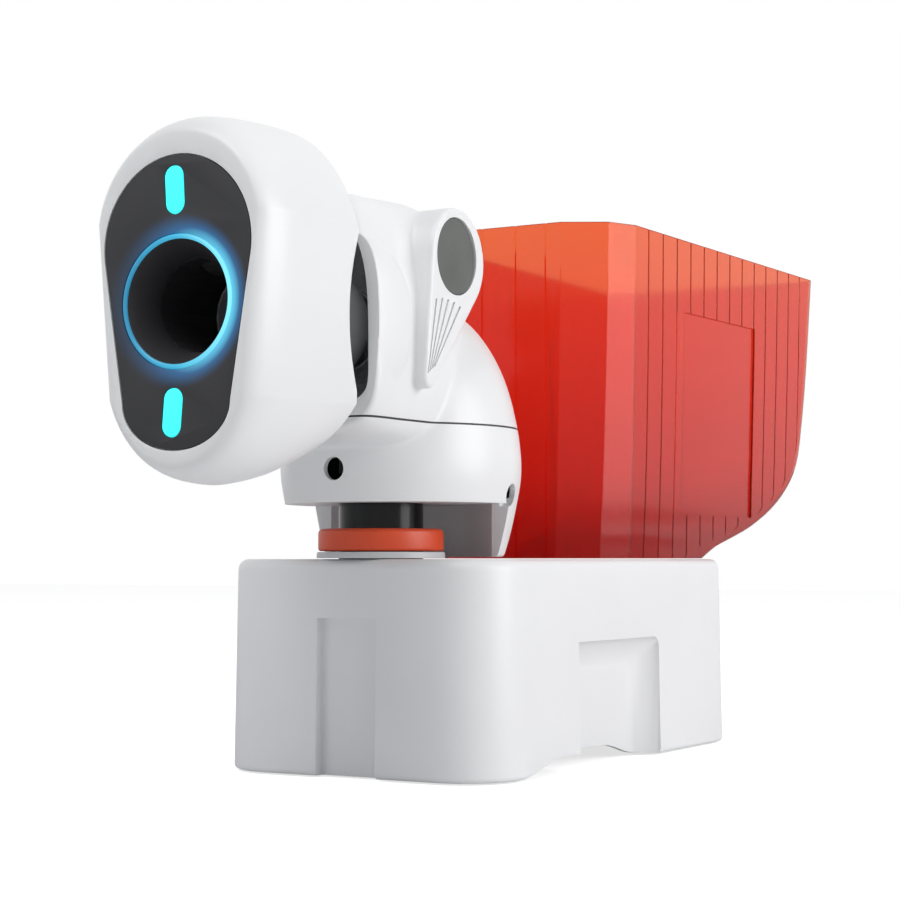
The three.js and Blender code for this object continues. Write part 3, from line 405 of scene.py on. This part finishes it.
def pill(x, z, lean, grow=0.0, count=20):
    """Upright outline with round ends."""
    half_wide, half_tall = 4.6 + grow, 9.9 + grow
    points = []
    for k in range(2):
        for i in range(count + 1):
            a = math.pi * (k + i / count)
            u = half_wide * math.cos(a)
            v = (half_tall - half_wide) * (1 - 2 * k) + half_wide * math.sin(a)
            points.append((x + u * math.cos(lean) - v * math.sin(lean),
                           z + u * math.sin(lean) + v * math.cos(lean)))
    return points


# Piece, place across, level and lean of each light.
LED_PLAY = 0.3
LEDS = [("led_upper", -1.2, 250.2, 0.06), ("led_lower", -1.6, 159.2, -0.08)]
for node, x, z, lean in LEDS:
    combine(face, plate("cut", pill(x, z, lean, LED_PLAY), "xz", -130.0, -120.0))
shaded(bevelled(face, 0.35, 3, 40), 40)


def face_material():
    m = material("face_charcoal_painted_glow", (0.014, 0.014, 0.018), 0.55, bump=0.05, bump_scale=2800, tint=0.15)
    tree = m.node_tree
    links = tree.links
    shader = tree.nodes["Principled BSDF"]
    where = tree.nodes.new("ShaderNodeTexCoord")
    shift = tree.nodes.new("ShaderNodeMapping")
    shift.inputs["Location"].default_value = (0.0, 0.0, -MOUTH[1] * UNIT)
    links.new(where.outputs["Object"], shift.inputs["Vector"])
    parts = tree.nodes.new("ShaderNodeSeparateXYZ")
    links.new(shift.outputs["Vector"], parts.inputs["Vector"])
    flat = tree.nodes.new("ShaderNodeCombineXYZ")
    links.new(parts.outputs["X"], flat.inputs["X"])
    links.new(parts.outputs["Z"], flat.inputs["Z"])
    away = tree.nodes.new("ShaderNodeVectorMath")
    away.operation = "LENGTH"
    links.new(flat.outputs["Vector"], away.inputs[0])
    # Painted glow: emission round the mouth that fades outwards and is painted brighter towards the right side.
    painted_glow = tree.nodes.new("ShaderNodeMapRange")
    painted_glow.interpolation_type = "SMOOTHSTEP"
    painted_glow.inputs["From Min"].default_value = 36.5 * UNIT
    painted_glow.inputs["From Max"].default_value = 27.0 * UNIT
    links.new(away.outputs["Value"], painted_glow.inputs["Value"])
    side = tree.nodes.new("ShaderNodeMapRange")
    side.interpolation_type = "SMOOTHSTEP"
    side.inputs["From Min"].default_value = -30 * UNIT
    side.inputs["From Max"].default_value = 30 * UNIT
    side.inputs["To Min"].default_value = 0.10
    side.inputs["To Max"].default_value = 1.0
    links.new(parts.outputs["X"], side.inputs["Value"])
    both = tree.nodes.new("ShaderNodeMath")
    both.operation = "MULTIPLY"
    links.new(painted_glow.outputs["Result"], both.inputs[0])
    links.new(side.outputs["Result"], both.inputs[1])
    ramp = tree.nodes.new("ShaderNodeValToRGB")
    ramp.color_ramp.elements[0].color = (0, 0, 0, 1)
    ramp.color_ramp.elements[1].color = (0.10, 0.62, 0.90, 1)
    middle = ramp.color_ramp.elements.new(0.5)
    middle.color = (0.005, 0.10, 0.26, 1)
    links.new(both.outputs["Value"], ramp.inputs["Fac"])
    links.new(ramp.outputs["Color"], shader.inputs["Emission Color"])
    shader.inputs["Emission Strength"].default_value = 1.0
    return m


dress(face, face_material(), "head", "charcoal", "face_panel")

for node, x, z, lean in LEDS:
    lens = plate(node + "_lens", pill(x, z, lean), "xz", FACE_FRONT - 0.1, FACE_BACK)
    shaded(bevelled(lens, 0.4, 3, 40), 40)
    dress(lens, led_glow, "head", "led_cyan", node)


def ring_material():
    m = bpy.data.materials.new("ring_light")
    m.use_nodes = True
    tree = m.node_tree
    shader = tree.nodes["Principled BSDF"]
    shader.inputs["Roughness"].default_value = 0.3
    shader.inputs["Base Color"].default_value = (0.02, 0.12, 0.2, 1)
    shader.inputs["Emission Strength"].default_value = 1.0
    where = tree.nodes.new("ShaderNodeTexCoord")
    parts = tree.nodes.new("ShaderNodeSeparateXYZ")
    tree.links.new(where.outputs["Object"], parts.inputs["Vector"])
    # Painted light: the ring's glow is painted dark blue on the left and bright cyan on the right.
    side = tree.nodes.new("ShaderNodeMapRange")
    side.inputs["From Min"].default_value = -28 * UNIT
    side.inputs["From Max"].default_value = 28 * UNIT
    tree.links.new(parts.outputs["X"], side.inputs["Value"])
    ramp = tree.nodes.new("ShaderNodeValToRGB")
    ramp.color_ramp.elements[0].color = (0.01, 0.16, 0.30, 1)
    ramp.color_ramp.elements[1].color = (0.25, 0.86, 1.0, 1)
    middle = ramp.color_ramp.elements.new(0.5)
    middle.color = (0.03, 0.38, 0.58, 1)
    tree.links.new(side.outputs["Result"], ramp.inputs["Fac"])
    tree.links.new(ramp.outputs["Color"], shader.inputs["Emission Color"])
    return m


RING_RADIUS, RING_DEPTH = 26.6, -125.8
profile = []
for i in range(16):
    a = 2 * math.pi * i / 16
    profile.append((RING_RADIUS + math.cos(a), RING_DEPTH + 0.9 * math.sin(a)))
ring = shaded(turned("light_ring_tube", profile, "y", MOUTH, 128))
dress(ring, ring_material(), "head", "led_cyan", "light_ring")

profile = [(25.5, -125.4), (25.9, -125.6), (26.5, -125.3), (26.7, -122.8), (21.0, -111.2),
           (19.7, -111.2), (20.6, -115), (24.7, -123.8)]
funnel = turned("mouth_funnel_skin", profile, "y", MOUTH, 128)
dress(shaded(funnel), charcoal, "head", "charcoal", "mouth_funnel")

# ---------- turret

# Radius and level.
BODY_TABLE = [(48.6, 101), (52, 113), (55.2, 128), (56.8, 138), (57, 146), (56, 157), (54.4, 166), (51.8, 177),
              (48.4, 187), (43.6, 197), (37.6, 206), (31, 213), (22, 219), (10, 222.8), (0.6, 223.6)]
# Depth, half width below and above, underside, top.
HOOD_TABLE = [(-44, 44.5, 37.5, 157, 256), (-42, 45.5, 38.4, 155.5, 259.5), (-36, 45.6, 39.2, 154, 262.3),
              (-28, 45.0, 39.4, 153, 263.2), (-22, 44.4, 39.2, 152.5, 263.8), (-16, 44.0, 39.8, 152, 263.8),
              (-10, 43.8, 42.0, 151.5, 263.8), (-3, 43.8, 45.4, 151.2, 263.8), (4, 43.8, 48.4, 151, 263.8),
              (16, 43.5, 49.6, 151, 262), (27, 42, 49, 151, 256), (36, 38, 45, 150, 243), (43, 31, 35, 150, 228),
              (48, 22, 24, 150, 214)]
HOOD_FOOT_POWER, HOOD_CROWN_POWER = 2 / 5, 2 / 3.4
HOOD_FRONT = -43.7
EAR_INNER, EAR_FACE, DISC_SEAT, FLUTE_FLOOR = 34.0, 52.0, 49.7, 50.9
DISC_HOLE, NECK_BORE, BODY_PLUG = 17.7, 20.3, 5.3
# The body is cut away under its front, round the swivel.
UNDERCUT_RADIUS, UNDERCUT_TOP, UNDERCUT_END = 52, 126, 57
BODY_FLOOR = 128.6


def body_ring(radius, z, count=144):
    ring = []
    for i in range(count):
        a = 2 * math.pi * i / count
        deep = radius * 60 / 57 if math.sin(a) < 0 else radius
        ring.append((radius * math.cos(a), 50 + deep * math.sin(a), z))
    return ring


def body_form(name, inset=0.0):
    rows = spline(BODY_TABLE, 3)
    last = len(rows) - 1
    return loft(name, [body_ring(max(r - inset, 0.3), z - inset * i / last) for i, (r, z) in enumerate(rows)])


def hood_form(name, inset=0.0, count=144):
    rings = []
    rows = spline(HOOD_TABLE, 3)
    for k, (t, half, upper, low, high) in enumerate(rows):
        shift = inset if k == 0 else -inset if k == len(rows) - 1 else 0
        ring = []
        for i in range(count):
            a = 2 * math.pi * i / count
            rise = min(max(math.sin(a) / 0.25, 0), 1)
            wide = half + (upper - half) * rise * rise * (3 - 2 * rise) - inset
            power = HOOD_FOOT_POWER if math.sin(a) < 0 else HOOD_CROWN_POWER
            x = wide * bent(math.cos(a), power)
            z = (low + high) / 2 + ((high - low) / 2 - inset) * bent(math.sin(a), power)
            ring.append((x, t + shift, z))
        rings.append(ring)
    return loft(name, rings)


def ear_outline(count=64):
    """Large circle round the disc and small circle at the tail, with straight flanks."""
    ty, tz, tr = -10.5, 180.0, 4.6
    ey, ez, er = 14.5, 235.5, 23.5
    away = math.hypot(ey - ty, ez - tz)
    lean = math.atan2(ez - tz, ey - ty)
    waist = math.acos((er - tr) / away)
    big = 2 * (math.pi - waist)
    points = []
    for i in range(count + 1):
        a = lean - big / 2 + big * i / count
        points.append((ey + er * math.cos(a), ez + er * math.sin(a)))
    for i in range(count // 4 + 1):
        a = lean + math.pi - waist + 2 * waist * i / (count // 4)
        points.append((ty + tr * math.cos(a), tz + tr * math.sin(a)))
    return points


def lean_tail(piece, side):
    """Brings the tail closer to the body than the disc, and back, so that it keeps its place in the view."""
    start, share, back = 232.0, 0.03, 1.73
    for v in piece.data.vertices:
        down = max(start * UNIT - v.co.z, 0.0) * share
        v.co.x -= side * down
        v.co.y += back * down
    return piece


def cheek(name, side):
    """A flat bulge with a steep round edge, drawn in towards the mouth and the crown."""
    rings = []
    for r in range(25):
        slope = math.pi / 2 * 0.97 * r / 24
        shrink = math.cos(slope) ** 0.45
        ring = []
        for i in range(96):
            a = 2 * math.pi * i / 96
            t = -48.0 + 35.5 * shrink * math.cos(a)
            rise = shrink * math.sin(a)
            front = min(max(1 - (t + 44.0) / 31.5, 0.0), 1.0)
            x = 40.0 + 9.0 * math.sin(slope) - 3.5 * front * (front + rise * rise)
            ring.append((side * x, t, 203.5 + 38.0 * rise))
        rings.append(ring)
    return loft(name, rings)


def twin(piece, name):
    other = piece.copy()
    other.data = piece.data.copy()
    other.name = name
    scene.collection.objects.link(other)
    return other


turret = body_form("upper_body_skin")
combine(turret, hood_form("cut"), "UNION")
remeshed(turret, 1.0, 8, 0.6)
for side in (-1, 1):
    ear = plate("cut", ear_outline(), "tz", EAR_INNER * side, EAR_FACE * side)
    bevelled(ear, 1.8, 4, 40)
    combine(turret, lean_tail(ear, side), "UNION")
for side in (-1, 1):
    bulb = cheek("cut", side)
    combine(bulb, slab("cut", -80, 80, -44.0, 60, 162.3, 280), "INTERSECT")
    combine(turret, bulb, "UNION")
remeshed(turret, 0.7, 5, 0.5)
combine(turret, slab("cut", -80, 80, -60, HOOD_FRONT, 100, 300))
combine(turret, rod(UNDERCUT_RADIUS, 60, UNDERCUT_TOP, "z", SWIVEL, 144))
combine(turret, slab("cut", -80, 80, -60, UNDERCUT_END, 60, UNDERCUT_TOP))

# The same form is cut into the lower shell, the trim in the seam and the upper shell.
lower = twin(turret, "lower_body_skin")
core = twin(turret, "seam_trim_skin")
combine(lower, layer(SEAM_LOW + 0.05, 300))
inner = body_form("cut", BODY_WALL)
combine(inner, layer(60, BODY_FLOOR))
combine(lower, inner)
combine(lower, rod(NECK_BORE, 60, 150, "z", SWIVEL))
combine(lower, rod(BODY_PLUG, -30, -2, "y", (0.0, 141.0), 64))
combine(lower, rod(BODY_PLUG, 49.2, 80, "x", (57.6, 130.0), 64))
shaded(bevelled(lower, 0.5, 3, 50), 45)
dress(lower, white, "turret", "white_gloss", "lower_body_shell")
combine(turret, layer(60, SEAM_HIGH - 0.05))
inner = hood_form("cut", BODY_WALL)
combine(inner, body_form("cut", BODY_WALL), "UNION")
combine(turret, inner)
FLUTES, FLUTE_TOP, FLUTE_FOOT = 5, 0.8, 0.35
mouth_outline = []
for i in range(128):
    a = math.pi * (2 * i + 1) / 128
    power, tall = (HOOD_CROWN_POWER, 65.3) if math.sin(a) > 0 else (HOOD_FOOT_POWER, 20.0)
    mouth_outline.append((40.0 * bent(math.cos(a), power), 187.0 + tall * bent(math.sin(a), power)))
combine(turret, plate("cut", mouth_outline, "xz", -60, -30))
for side in (-1, 1):
    combine(turret, rod(DISC_HOLE, DISC_SEAT * side, 60 * side, "x", EAR_DISC))
    for k in range(FLUTES):
        top_t, top_z = -5.6 + 5.2 * k, 216.5 - 0.35 * (k - 1.5) ** 2
        low_t, low_z = -13.4 + 1.45 * k, 182.0 + 0.9 * k
        groove = [(top_t - FLUTE_TOP, top_z), (low_t - FLUTE_FOOT, low_z),
                  (low_t + FLUTE_FOOT, low_z), (top_t + FLUTE_TOP, top_z)]
        combine(turret, lean_tail(plate("cut", groove, "tz", FLUTE_FLOOR * side, 54.0 * side), side))
shaded(bevelled(turret, 0.5, 3, 50), 45)
dress(turret, white, "turret", "white_gloss", "upper_body_shell")
combine(core, layer(60, SEAM_LOW))
combine(core, layer(SEAM_HIGH, 300))
combine(core, body_form("cut", 2.4))
shrink = core.modifiers.new("in", "DISPLACE")
shrink.strength = -0.25 * UNIT
shrink.mid_level = 0.0
settle(core)
dress(shaded(core), trim_dark, "turret", "charcoal", "seam_trim")

for name, side in (("ear_disc_right", 1), ("ear_disc_left", -1)):
    profile = [(0.01, 49.9 * side), (17.4, 49.9 * side), (17.4, 50.8 * side), (17.0, 51.1 * side),
               (0.01, 51.15 * side)]
    disc = turned(name + "_skin", profile, "x", EAR_DISC, 96, loop=False)
    grain = material(name + "_grain", (0.135, 0.143, 0.138), 0.75, bump=0.9, bump_scale=1500, tint=0.3)
    dress(shaded(disc, 30), grain, "turret", "disc_grey", name)

arc = [-0.74 + 1.5 * i / 20 for i in range(21)]
profile = [(19.2, -71.8), (22.3, -71.8), (22.3, -48.5)]
profile += [(27 * math.cos(a), -30 + 27 * math.sin(a)) for a in arc] + [(19.6, -11.4), (19.2, -12)]
drum = turned("tilt_drum_skin", profile, "y", MOUTH, 96)
dress(shaded(drum), pale, "tilt_drum", "pale_plastic", "tilt_drum")

# ---------- swivel

NECK_INSIDE, NECK_OUTSIDE, SWIVEL_BORE = 19.1, 19.85, 20.4
RING_OUTSIDE, RING_LOW, RING_TOP = 29.4, 103.7, 114.1
profile = [(NECK_INSIDE, 90), (NECK_OUTSIDE, 90), (NECK_OUTSIDE, 140), (NECK_INSIDE, 140)]
neck = turned("neck_tube_skin", profile, "z", SWIVEL, 128)
dress(shaded(neck), black_gloss, "turret", "black_gloss", "neck_tube")
low_arc = [math.pi / 2 * i / 6 for i in range(7)]
high_arc = [math.pi / 2 * i / 8 for i in range(9)]
profile = [(SWIVEL_BORE, RING_LOW)]
profile += [(RING_OUTSIDE - 1.3 * (1 - math.sin(a)), RING_LOW + 1.3 * (1 - math.cos(a))) for a in low_arc]
profile += [(RING_OUTSIDE - 2.2 * (1 - math.cos(a)), RING_TOP - 2.2 * (1 - math.sin(a))) for a in high_arc]
profile += [(SWIVEL_BORE, RING_TOP)]
swivel_ring = turned("swivel_ring_skin", profile, "z", SWIVEL, 128)
dress(shaded(swivel_ring), ring_orange, "base", "ring_orange", "swivel_ring")
profile = [(SWIVEL_BORE, 100.4), (30.1, 100.4), (30.1, 102.7), (29.7, 103.3), (SWIVEL_BORE, 103.3)]
collar = turned("swivel_collar_skin", profile, "z", SWIVEL, 128)
dress(shaded(collar), pale, "base", "pale_plastic", "swivel_collar")

# ---------- base

BASE_HALF, BASE_LONG, BASE_TOP = 76, 272, 100
FRONT_ROUND, REAR_ROUND = 30, 14
SLOT_HALF, SLOT_DEEP, SLOT_TOP, SLOT_WALL = 16, 6, 73, 3
ARCH_START, ARCH_EASE, ARCH_END, ARCH_RISE = 26, 44, 178, 3.5
GRIP_FRONT, GRIP_REAR, GRIP_TOP, GRIP_EASE = 88, 180, 61, 14
FEED_HOLE, INLET_HOLE = 56.3, 5.3
# Cuts start this far below the floor or before the front.
BELOW = -5


def base_ring(inset, z, count=14):
    """Outline of the base with its larger corners in front."""
    half, front, rear = BASE_HALF - inset, inset, BASE_LONG - inset
    rf, rr = FRONT_ROUND - inset, REAR_ROUND - inset
    ring = []
    for x, t, r, q in ((half - rr, rear - rr, rr, 0), (-half + rr, rear - rr, rr, 1),
                       (-half + rf, front + rf, rf, 2), (half - rf, front + rf, rf, 3)):
        for i in range(count + 1):
            a = (q + i / count) * math.pi / 2
            ring.append((x + r * math.cos(a), t + r * math.sin(a), z))
    return ring


def base_form(name, inset=0.0):
    low = 1.0 - (3 if inset else 0)
    rings = [base_ring(inset + 1.6, low), base_ring(inset + 0.7, low + 0.4), base_ring(inset + 0.15, low + 1.2),
             base_ring(inset, low + 2.4)]
    for i in range(9):
        a = math.pi / 2 * i / 8
        rings.append(base_ring(inset + 1.4 + 5 * (1 - math.cos(a)), BASE_TOP - inset - 5 * (1 - math.sin(a))))
    return loft(name, rings)


base = base_form("base_shell_skin")
# The foot of each side wall rises in a flat arch, and the front has a tall recess.
eased = [(ARCH_EASE * k / 16, ARCH_RISE * (1 - math.cos(math.pi * k / 16))) for k in range(17)]
outline = [(ARCH_START, BELOW)] + [(ARCH_START + t, 1 + z) for t, z in eased]
outline += [(ARCH_END - t, 1 + z) for t, z in reversed(eased)] + [(ARCH_END, BELOW)]
combine(base, plate("cut", outline, "tz", -90, 90))
combine(base, slab("cut", -SLOT_HALF, SLOT_HALF, BELOW, SLOT_DEEP, BELOW, SLOT_TOP))


def scoop(name, side, grow=0.0):
    """Grip in a side wall, open at its foot."""
    rings = []
    for x, back in ((64 - grow, 1.0), (65.2, 0.74), (68, 0.45), (71.4, 0.2), (74.6, 0.03), (80, 0.0)):
        t1, z1 = GRIP_REAR + grow - GRIP_EASE * back, GRIP_TOP + grow - GRIP_EASE * back
        t0 = GRIP_FRONT - grow
        ring = [(side * x, t0, BELOW), (side * x, t1, BELOW)]
        for i in range(9):
            a = math.pi / 2 * i / 8
            ring.append((side * x, t1 - 6 * (1 - math.cos(a)), z1 - 6 * (1 - math.sin(a))))
        ring.append((side * x, t0, z1))
        rings.append(ring)
    return loft(name, rings)


for side in (-1, 1):
    combine(base, scoop("cut", side))
inner = base_form("cut", BASE_WALL)
combine(inner, slab("cut", -SLOT_HALF - SLOT_WALL, SLOT_HALF + SLOT_WALL, BELOW, SLOT_DEEP + SLOT_WALL,
                    BELOW, SLOT_TOP + SLOT_WALL))
for side in (-1, 1):
    combine(inner, scoop("cut", side, BASE_WALL))
combine(base, inner)
combine(base, rod(NECK_BORE, 90, 110, "z", SWIVEL))
combine(base, rod(FEED_HOLE, 90, 110, "z", FEED, 128))
combine(base, rod(INLET_HOLE, BASE_LONG - 10, BASE_LONG + 10, "y", (-30.0, 40.0), 48))
combine(base, slab("cut", 22.7, 37.3, BASE_LONG - 10, BASE_LONG + 10, 29.7, 50.3))
shaded(bevelled(base, 0.7, 3, 40), 40)
dress(base, base_white, "base", "white_gloss", "base_shell")

# ---------- hopper

# Level, depth of the rear wall, half width.
HOPPER_TABLE = [
    (100.4, 271, 63), (107, 290, 63.4), (112, 312, 63.8), (119, 341, 64.2), (130, 372, 65), (143, 396, 65.6),
    (158, 411, 66.4), (180, 418, 67.2), (218, 424, 68.6), (273, 430, 70)]
RIB_START, RIB_STEP, RIB_COUNT = 191.6, 17.7, 14
RIB_HALF, RIB_DEEP = 0.7, 0.9
FRONT_RIBS = (10.0, 27.4)
HOPPER_FRONT, HOPPER_WALL, DOOR_SINK = 147, 2.2, 1.2
HOPPER_HALF, FLAT_HALF, NOSE_HALF, SIDE_NARROW = 70, 36, 57.6, 5


def hopper_ring(z, rear, half, inset=0.0):
    """Outline at one level.

    Ribs that would pass the rear corner are drawn flat, so all rings have the same count."""
    share = (z - HOPPER_FOOT) / (HOPPER_RIM - HOPPER_FOOT)
    front = HOPPER_FRONT + inset
    side = half - inset
    back = rear - inset
    flat = FLAT_HALF * half / HOPPER_HALF - inset / 3
    nose = NOSE_HALF * half / HOPPER_HALF - inset / 2
    cheek_half = side - SIDE_NARROW * half / HOPPER_HALF * (1 + share) / 2
    r = 8 - inset
    deep = RIB_DEEP if inset == 0 else 0
    points = [(0.0, front)]
    for x in FRONT_RIBS:
        points += [(x - RIB_HALF, front), (x - RIB_HALF / 2, front + deep), (x + RIB_HALF / 2, front + deep),
                   (x + RIB_HALF, front)]
    points += [(flat, front), (nose, front + 12), (cheek_half, front + 29)]
    start, end = front + 29, back - r
    for k in range(RIB_COUNT):
        limit = end - 2 * (RIB_COUNT - k)
        t = min(RIB_START + RIB_STEP * k, limit)
        there = RIB_START + RIB_STEP * k <= limit
        for step, down in ((-RIB_HALF, 0), (-RIB_HALF / 2, deep), (RIB_HALF / 2, deep), (RIB_HALF, 0)):
            wall = cheek_half + (side - cheek_half) * (t + step - start) / (end - start)
            points.append((wall - (down if there else 0), t + step))
    points.append((side, end))
    for i in range(1, 5):
        a = math.pi / 2 * i / 4
        points.append((side - r * (1 - math.cos(a)), back - r * (1 - math.sin(a))))
    points += [((side - r) * 0.5, back), (0.0, back)]
    ring = [(x, t, z) for x, t in points]
    other = [(-x, t, z) for x, t, _ in reversed(ring[1:-1])]
    return ring + other


rows = spline(HOPPER_TABLE, 3)
outer = [hopper_ring(z, rear, half) for z, rear, half in rows]
inner = [hopper_ring(z, rear, half, HOPPER_WALL) for z, rear, half in rows]
hopper = loft("hopper_shell", outer + inner[::-1], loop=True)
core = loft("cut", [hopper_ring(z, rear, half, DOOR_SINK) for z, rear, half in rows])
for side in (-1, 1):
    door = slab("cut", min(55 * side, 80 * side), max(55 * side, 80 * side), 237, 335, 124, 234)
    combine(door, core, keep=True)
    combine(hopper, door)
bpy.data.objects.remove(core)


def hopper_material():
    m = bpy.data.materials.new("hopper_amber")
    m.use_nodes = True
    tree = m.node_tree
    links = tree.links
    shader = tree.nodes["Principled BSDF"]
    shader.inputs["Roughness"].default_value = 0.12
    shader.inputs["IOR"].default_value = 1.28
    shader.inputs["Transmission Weight"].default_value = 0.9
    where = tree.nodes.new("ShaderNodeTexCoord")
    drift = tree.nodes.new("ShaderNodeTexNoise")
    drift.inputs["Scale"].default_value = 16.0
    links.new(where.outputs["Object"], drift.inputs["Vector"])
    level = tree.nodes.new("ShaderNodeSeparateXYZ")
    links.new(where.outputs["Object"], level.inputs["Vector"])
    # Painted shade: the colour is painted darker towards the foot and lighter towards the rim.
    height = tree.nodes.new("ShaderNodeMapRange")
    height.inputs["From Min"].default_value = 100 * UNIT
    height.inputs["From Max"].default_value = HOPPER_RIM * UNIT
    height.inputs["To Max"].default_value = 0.9
    links.new(level.outputs["Z"], height.inputs["Value"])
    mixed = tree.nodes.new("ShaderNodeMath")
    mixed.operation = "MULTIPLY_ADD"
    mixed.inputs[1].default_value = 0.1
    links.new(drift.outputs["Fac"], mixed.inputs[0])
    links.new(height.outputs["Result"], mixed.inputs[2])
    ramp = tree.nodes.new("ShaderNodeValToRGB")
    ramp.color_ramp.elements[0].color = (0.52, 0.022, 0.016, 1)
    ramp.color_ramp.elements[1].color = (0.88, 0.15, 0.045, 1)
    for where_at, colour in ((0.3, (0.74, 0.07, 0.038, 1)), (0.62, (0.84, 0.105, 0.05, 1))):
        ramp.color_ramp.elements.new(where_at).color = colour
    links.new(mixed.outputs["Value"], ramp.inputs["Fac"])
    links.new(ramp.outputs["Color"], shader.inputs["Base Color"])
    return m


dress(shaded(hopper, 20), hopper_material(), "hopper", "hopper_amber", "hopper")

# ---------- carried-over solids

for node, mat in {
    "base_plate": charcoal, "foot_1": rubber, "foot_2": rubber, "foot_3": rubber, "foot_4": rubber,
    "feed_tray": pale, "feed_wheel": ring_orange, "feed_motor": steel, "ball_chute": charcoal,
    "chute_inlet": charcoal, "chute_outlet": charcoal,
    "control_board": board, "power_inlet": charcoal, "switch_frame": charcoal, "switch_rocker": rocker_red,
    "ball_elbow": pale, "yaw_servo": charcoal, "tilt_servo": charcoal, "ball_guide": charcoal,
    "throw_hub_upper": pale, "throw_hub_lower": pale, "throw_tyre_upper": rubber, "throw_tyre_lower": rubber,
    "throw_motor_upper": steel, "throw_motor_lower": steel,
}.items():
    repaint(node, mat)

# ---------- floor, world and lamps

floor_mesh = bpy.data.meshes.new("floor")
floor_mesh.from_pydata([(-6, -6, 0), (6, -6, 0), (6, 6, 0), (-6, 6, 0)], [], [(0, 1, 2, 3)])
floor = bpy.data.objects.new("floor", floor_mesh)
scene.collection.objects.link(floor)
m = bpy.data.materials.new("floor_pale")
m.use_nodes = True
tree = m.node_tree
shader = tree.nodes["Principled BSDF"]
shader.inputs["Base Color"].default_value = (0.86, 0.86, 0.87, 1)
shader.inputs["Roughness"].default_value = 0.9
shader.inputs["Specular IOR Level"].default_value = 0.0
path = tree.nodes.new("ShaderNodeLightPath")
shader.inputs["Emission Color"].default_value = (1, 1, 1, 1)
dim = tree.nodes.new("ShaderNodeMath")
dim.operation = "MULTIPLY"
dim.inputs[1].default_value = 0.72
tree.links.new(path.outputs["Is Camera Ray"], dim.inputs[0])
tree.links.new(dim.outputs["Value"], shader.inputs["Emission Strength"])
floor.data.materials.append(m)

world = bpy.data.worlds.new("world")
scene.world = world
world.use_nodes = True
tree = world.node_tree
back = tree.nodes["Background"]
path = tree.nodes.new("ShaderNodeLightPath")
add = tree.nodes.new("ShaderNodeMath")
add.operation = "ADD"
add.use_clamp = True
tree.links.new(path.outputs["Is Camera Ray"], add.inputs[0])
tree.links.new(path.outputs["Is Glossy Ray"], add.inputs[1])
more = tree.nodes.new("ShaderNodeMath")
more.operation = "ADD"
more.use_clamp = True
tree.links.new(add.outputs["Value"], more.inputs[0])
tree.links.new(path.outputs["Is Transmission Ray"], more.inputs[1])
mix = tree.nodes.new("ShaderNodeMapRange")
mix.inputs["To Min"].default_value = 0.29
mix.inputs["To Max"].default_value = 1.0
tree.links.new(more.outputs["Value"], mix.inputs["Value"])
tree.links.new(mix.outputs["Result"], back.inputs["Strength"])
back.inputs["Color"].default_value = (1, 1, 1, 1)
AIM = (0, 0, 0.15)


def lamp(name, where, size, power, colour):
    data = bpy.data.lights.new(name, "AREA")
    data.shape = "DISK"
    data.size = size
    data.energy = power
    data.color = colour
    light = bpy.data.objects.new(name, data)
    scene.collection.objects.link(light)
    light.location = where
    light.rotation_euler = (Vector(AIM) - Vector(where)).to_track_quat("-Z", "Y").to_euler()


lamp("key_right", (2.28, 0.35, 0.8), 1.8, 37, (1.0, 0.99, 0.98))
lamp("top_soft", (-0.2, -1.3, 2.0), 1.6, 23, (1.0, 1.0, 1.0))
lamp("front_fill", (-1.2, -2.2, 0.9), 1.6, 1.5, (0.75, 0.87, 1.0))

scene.view_settings.view_transform = "Standard"
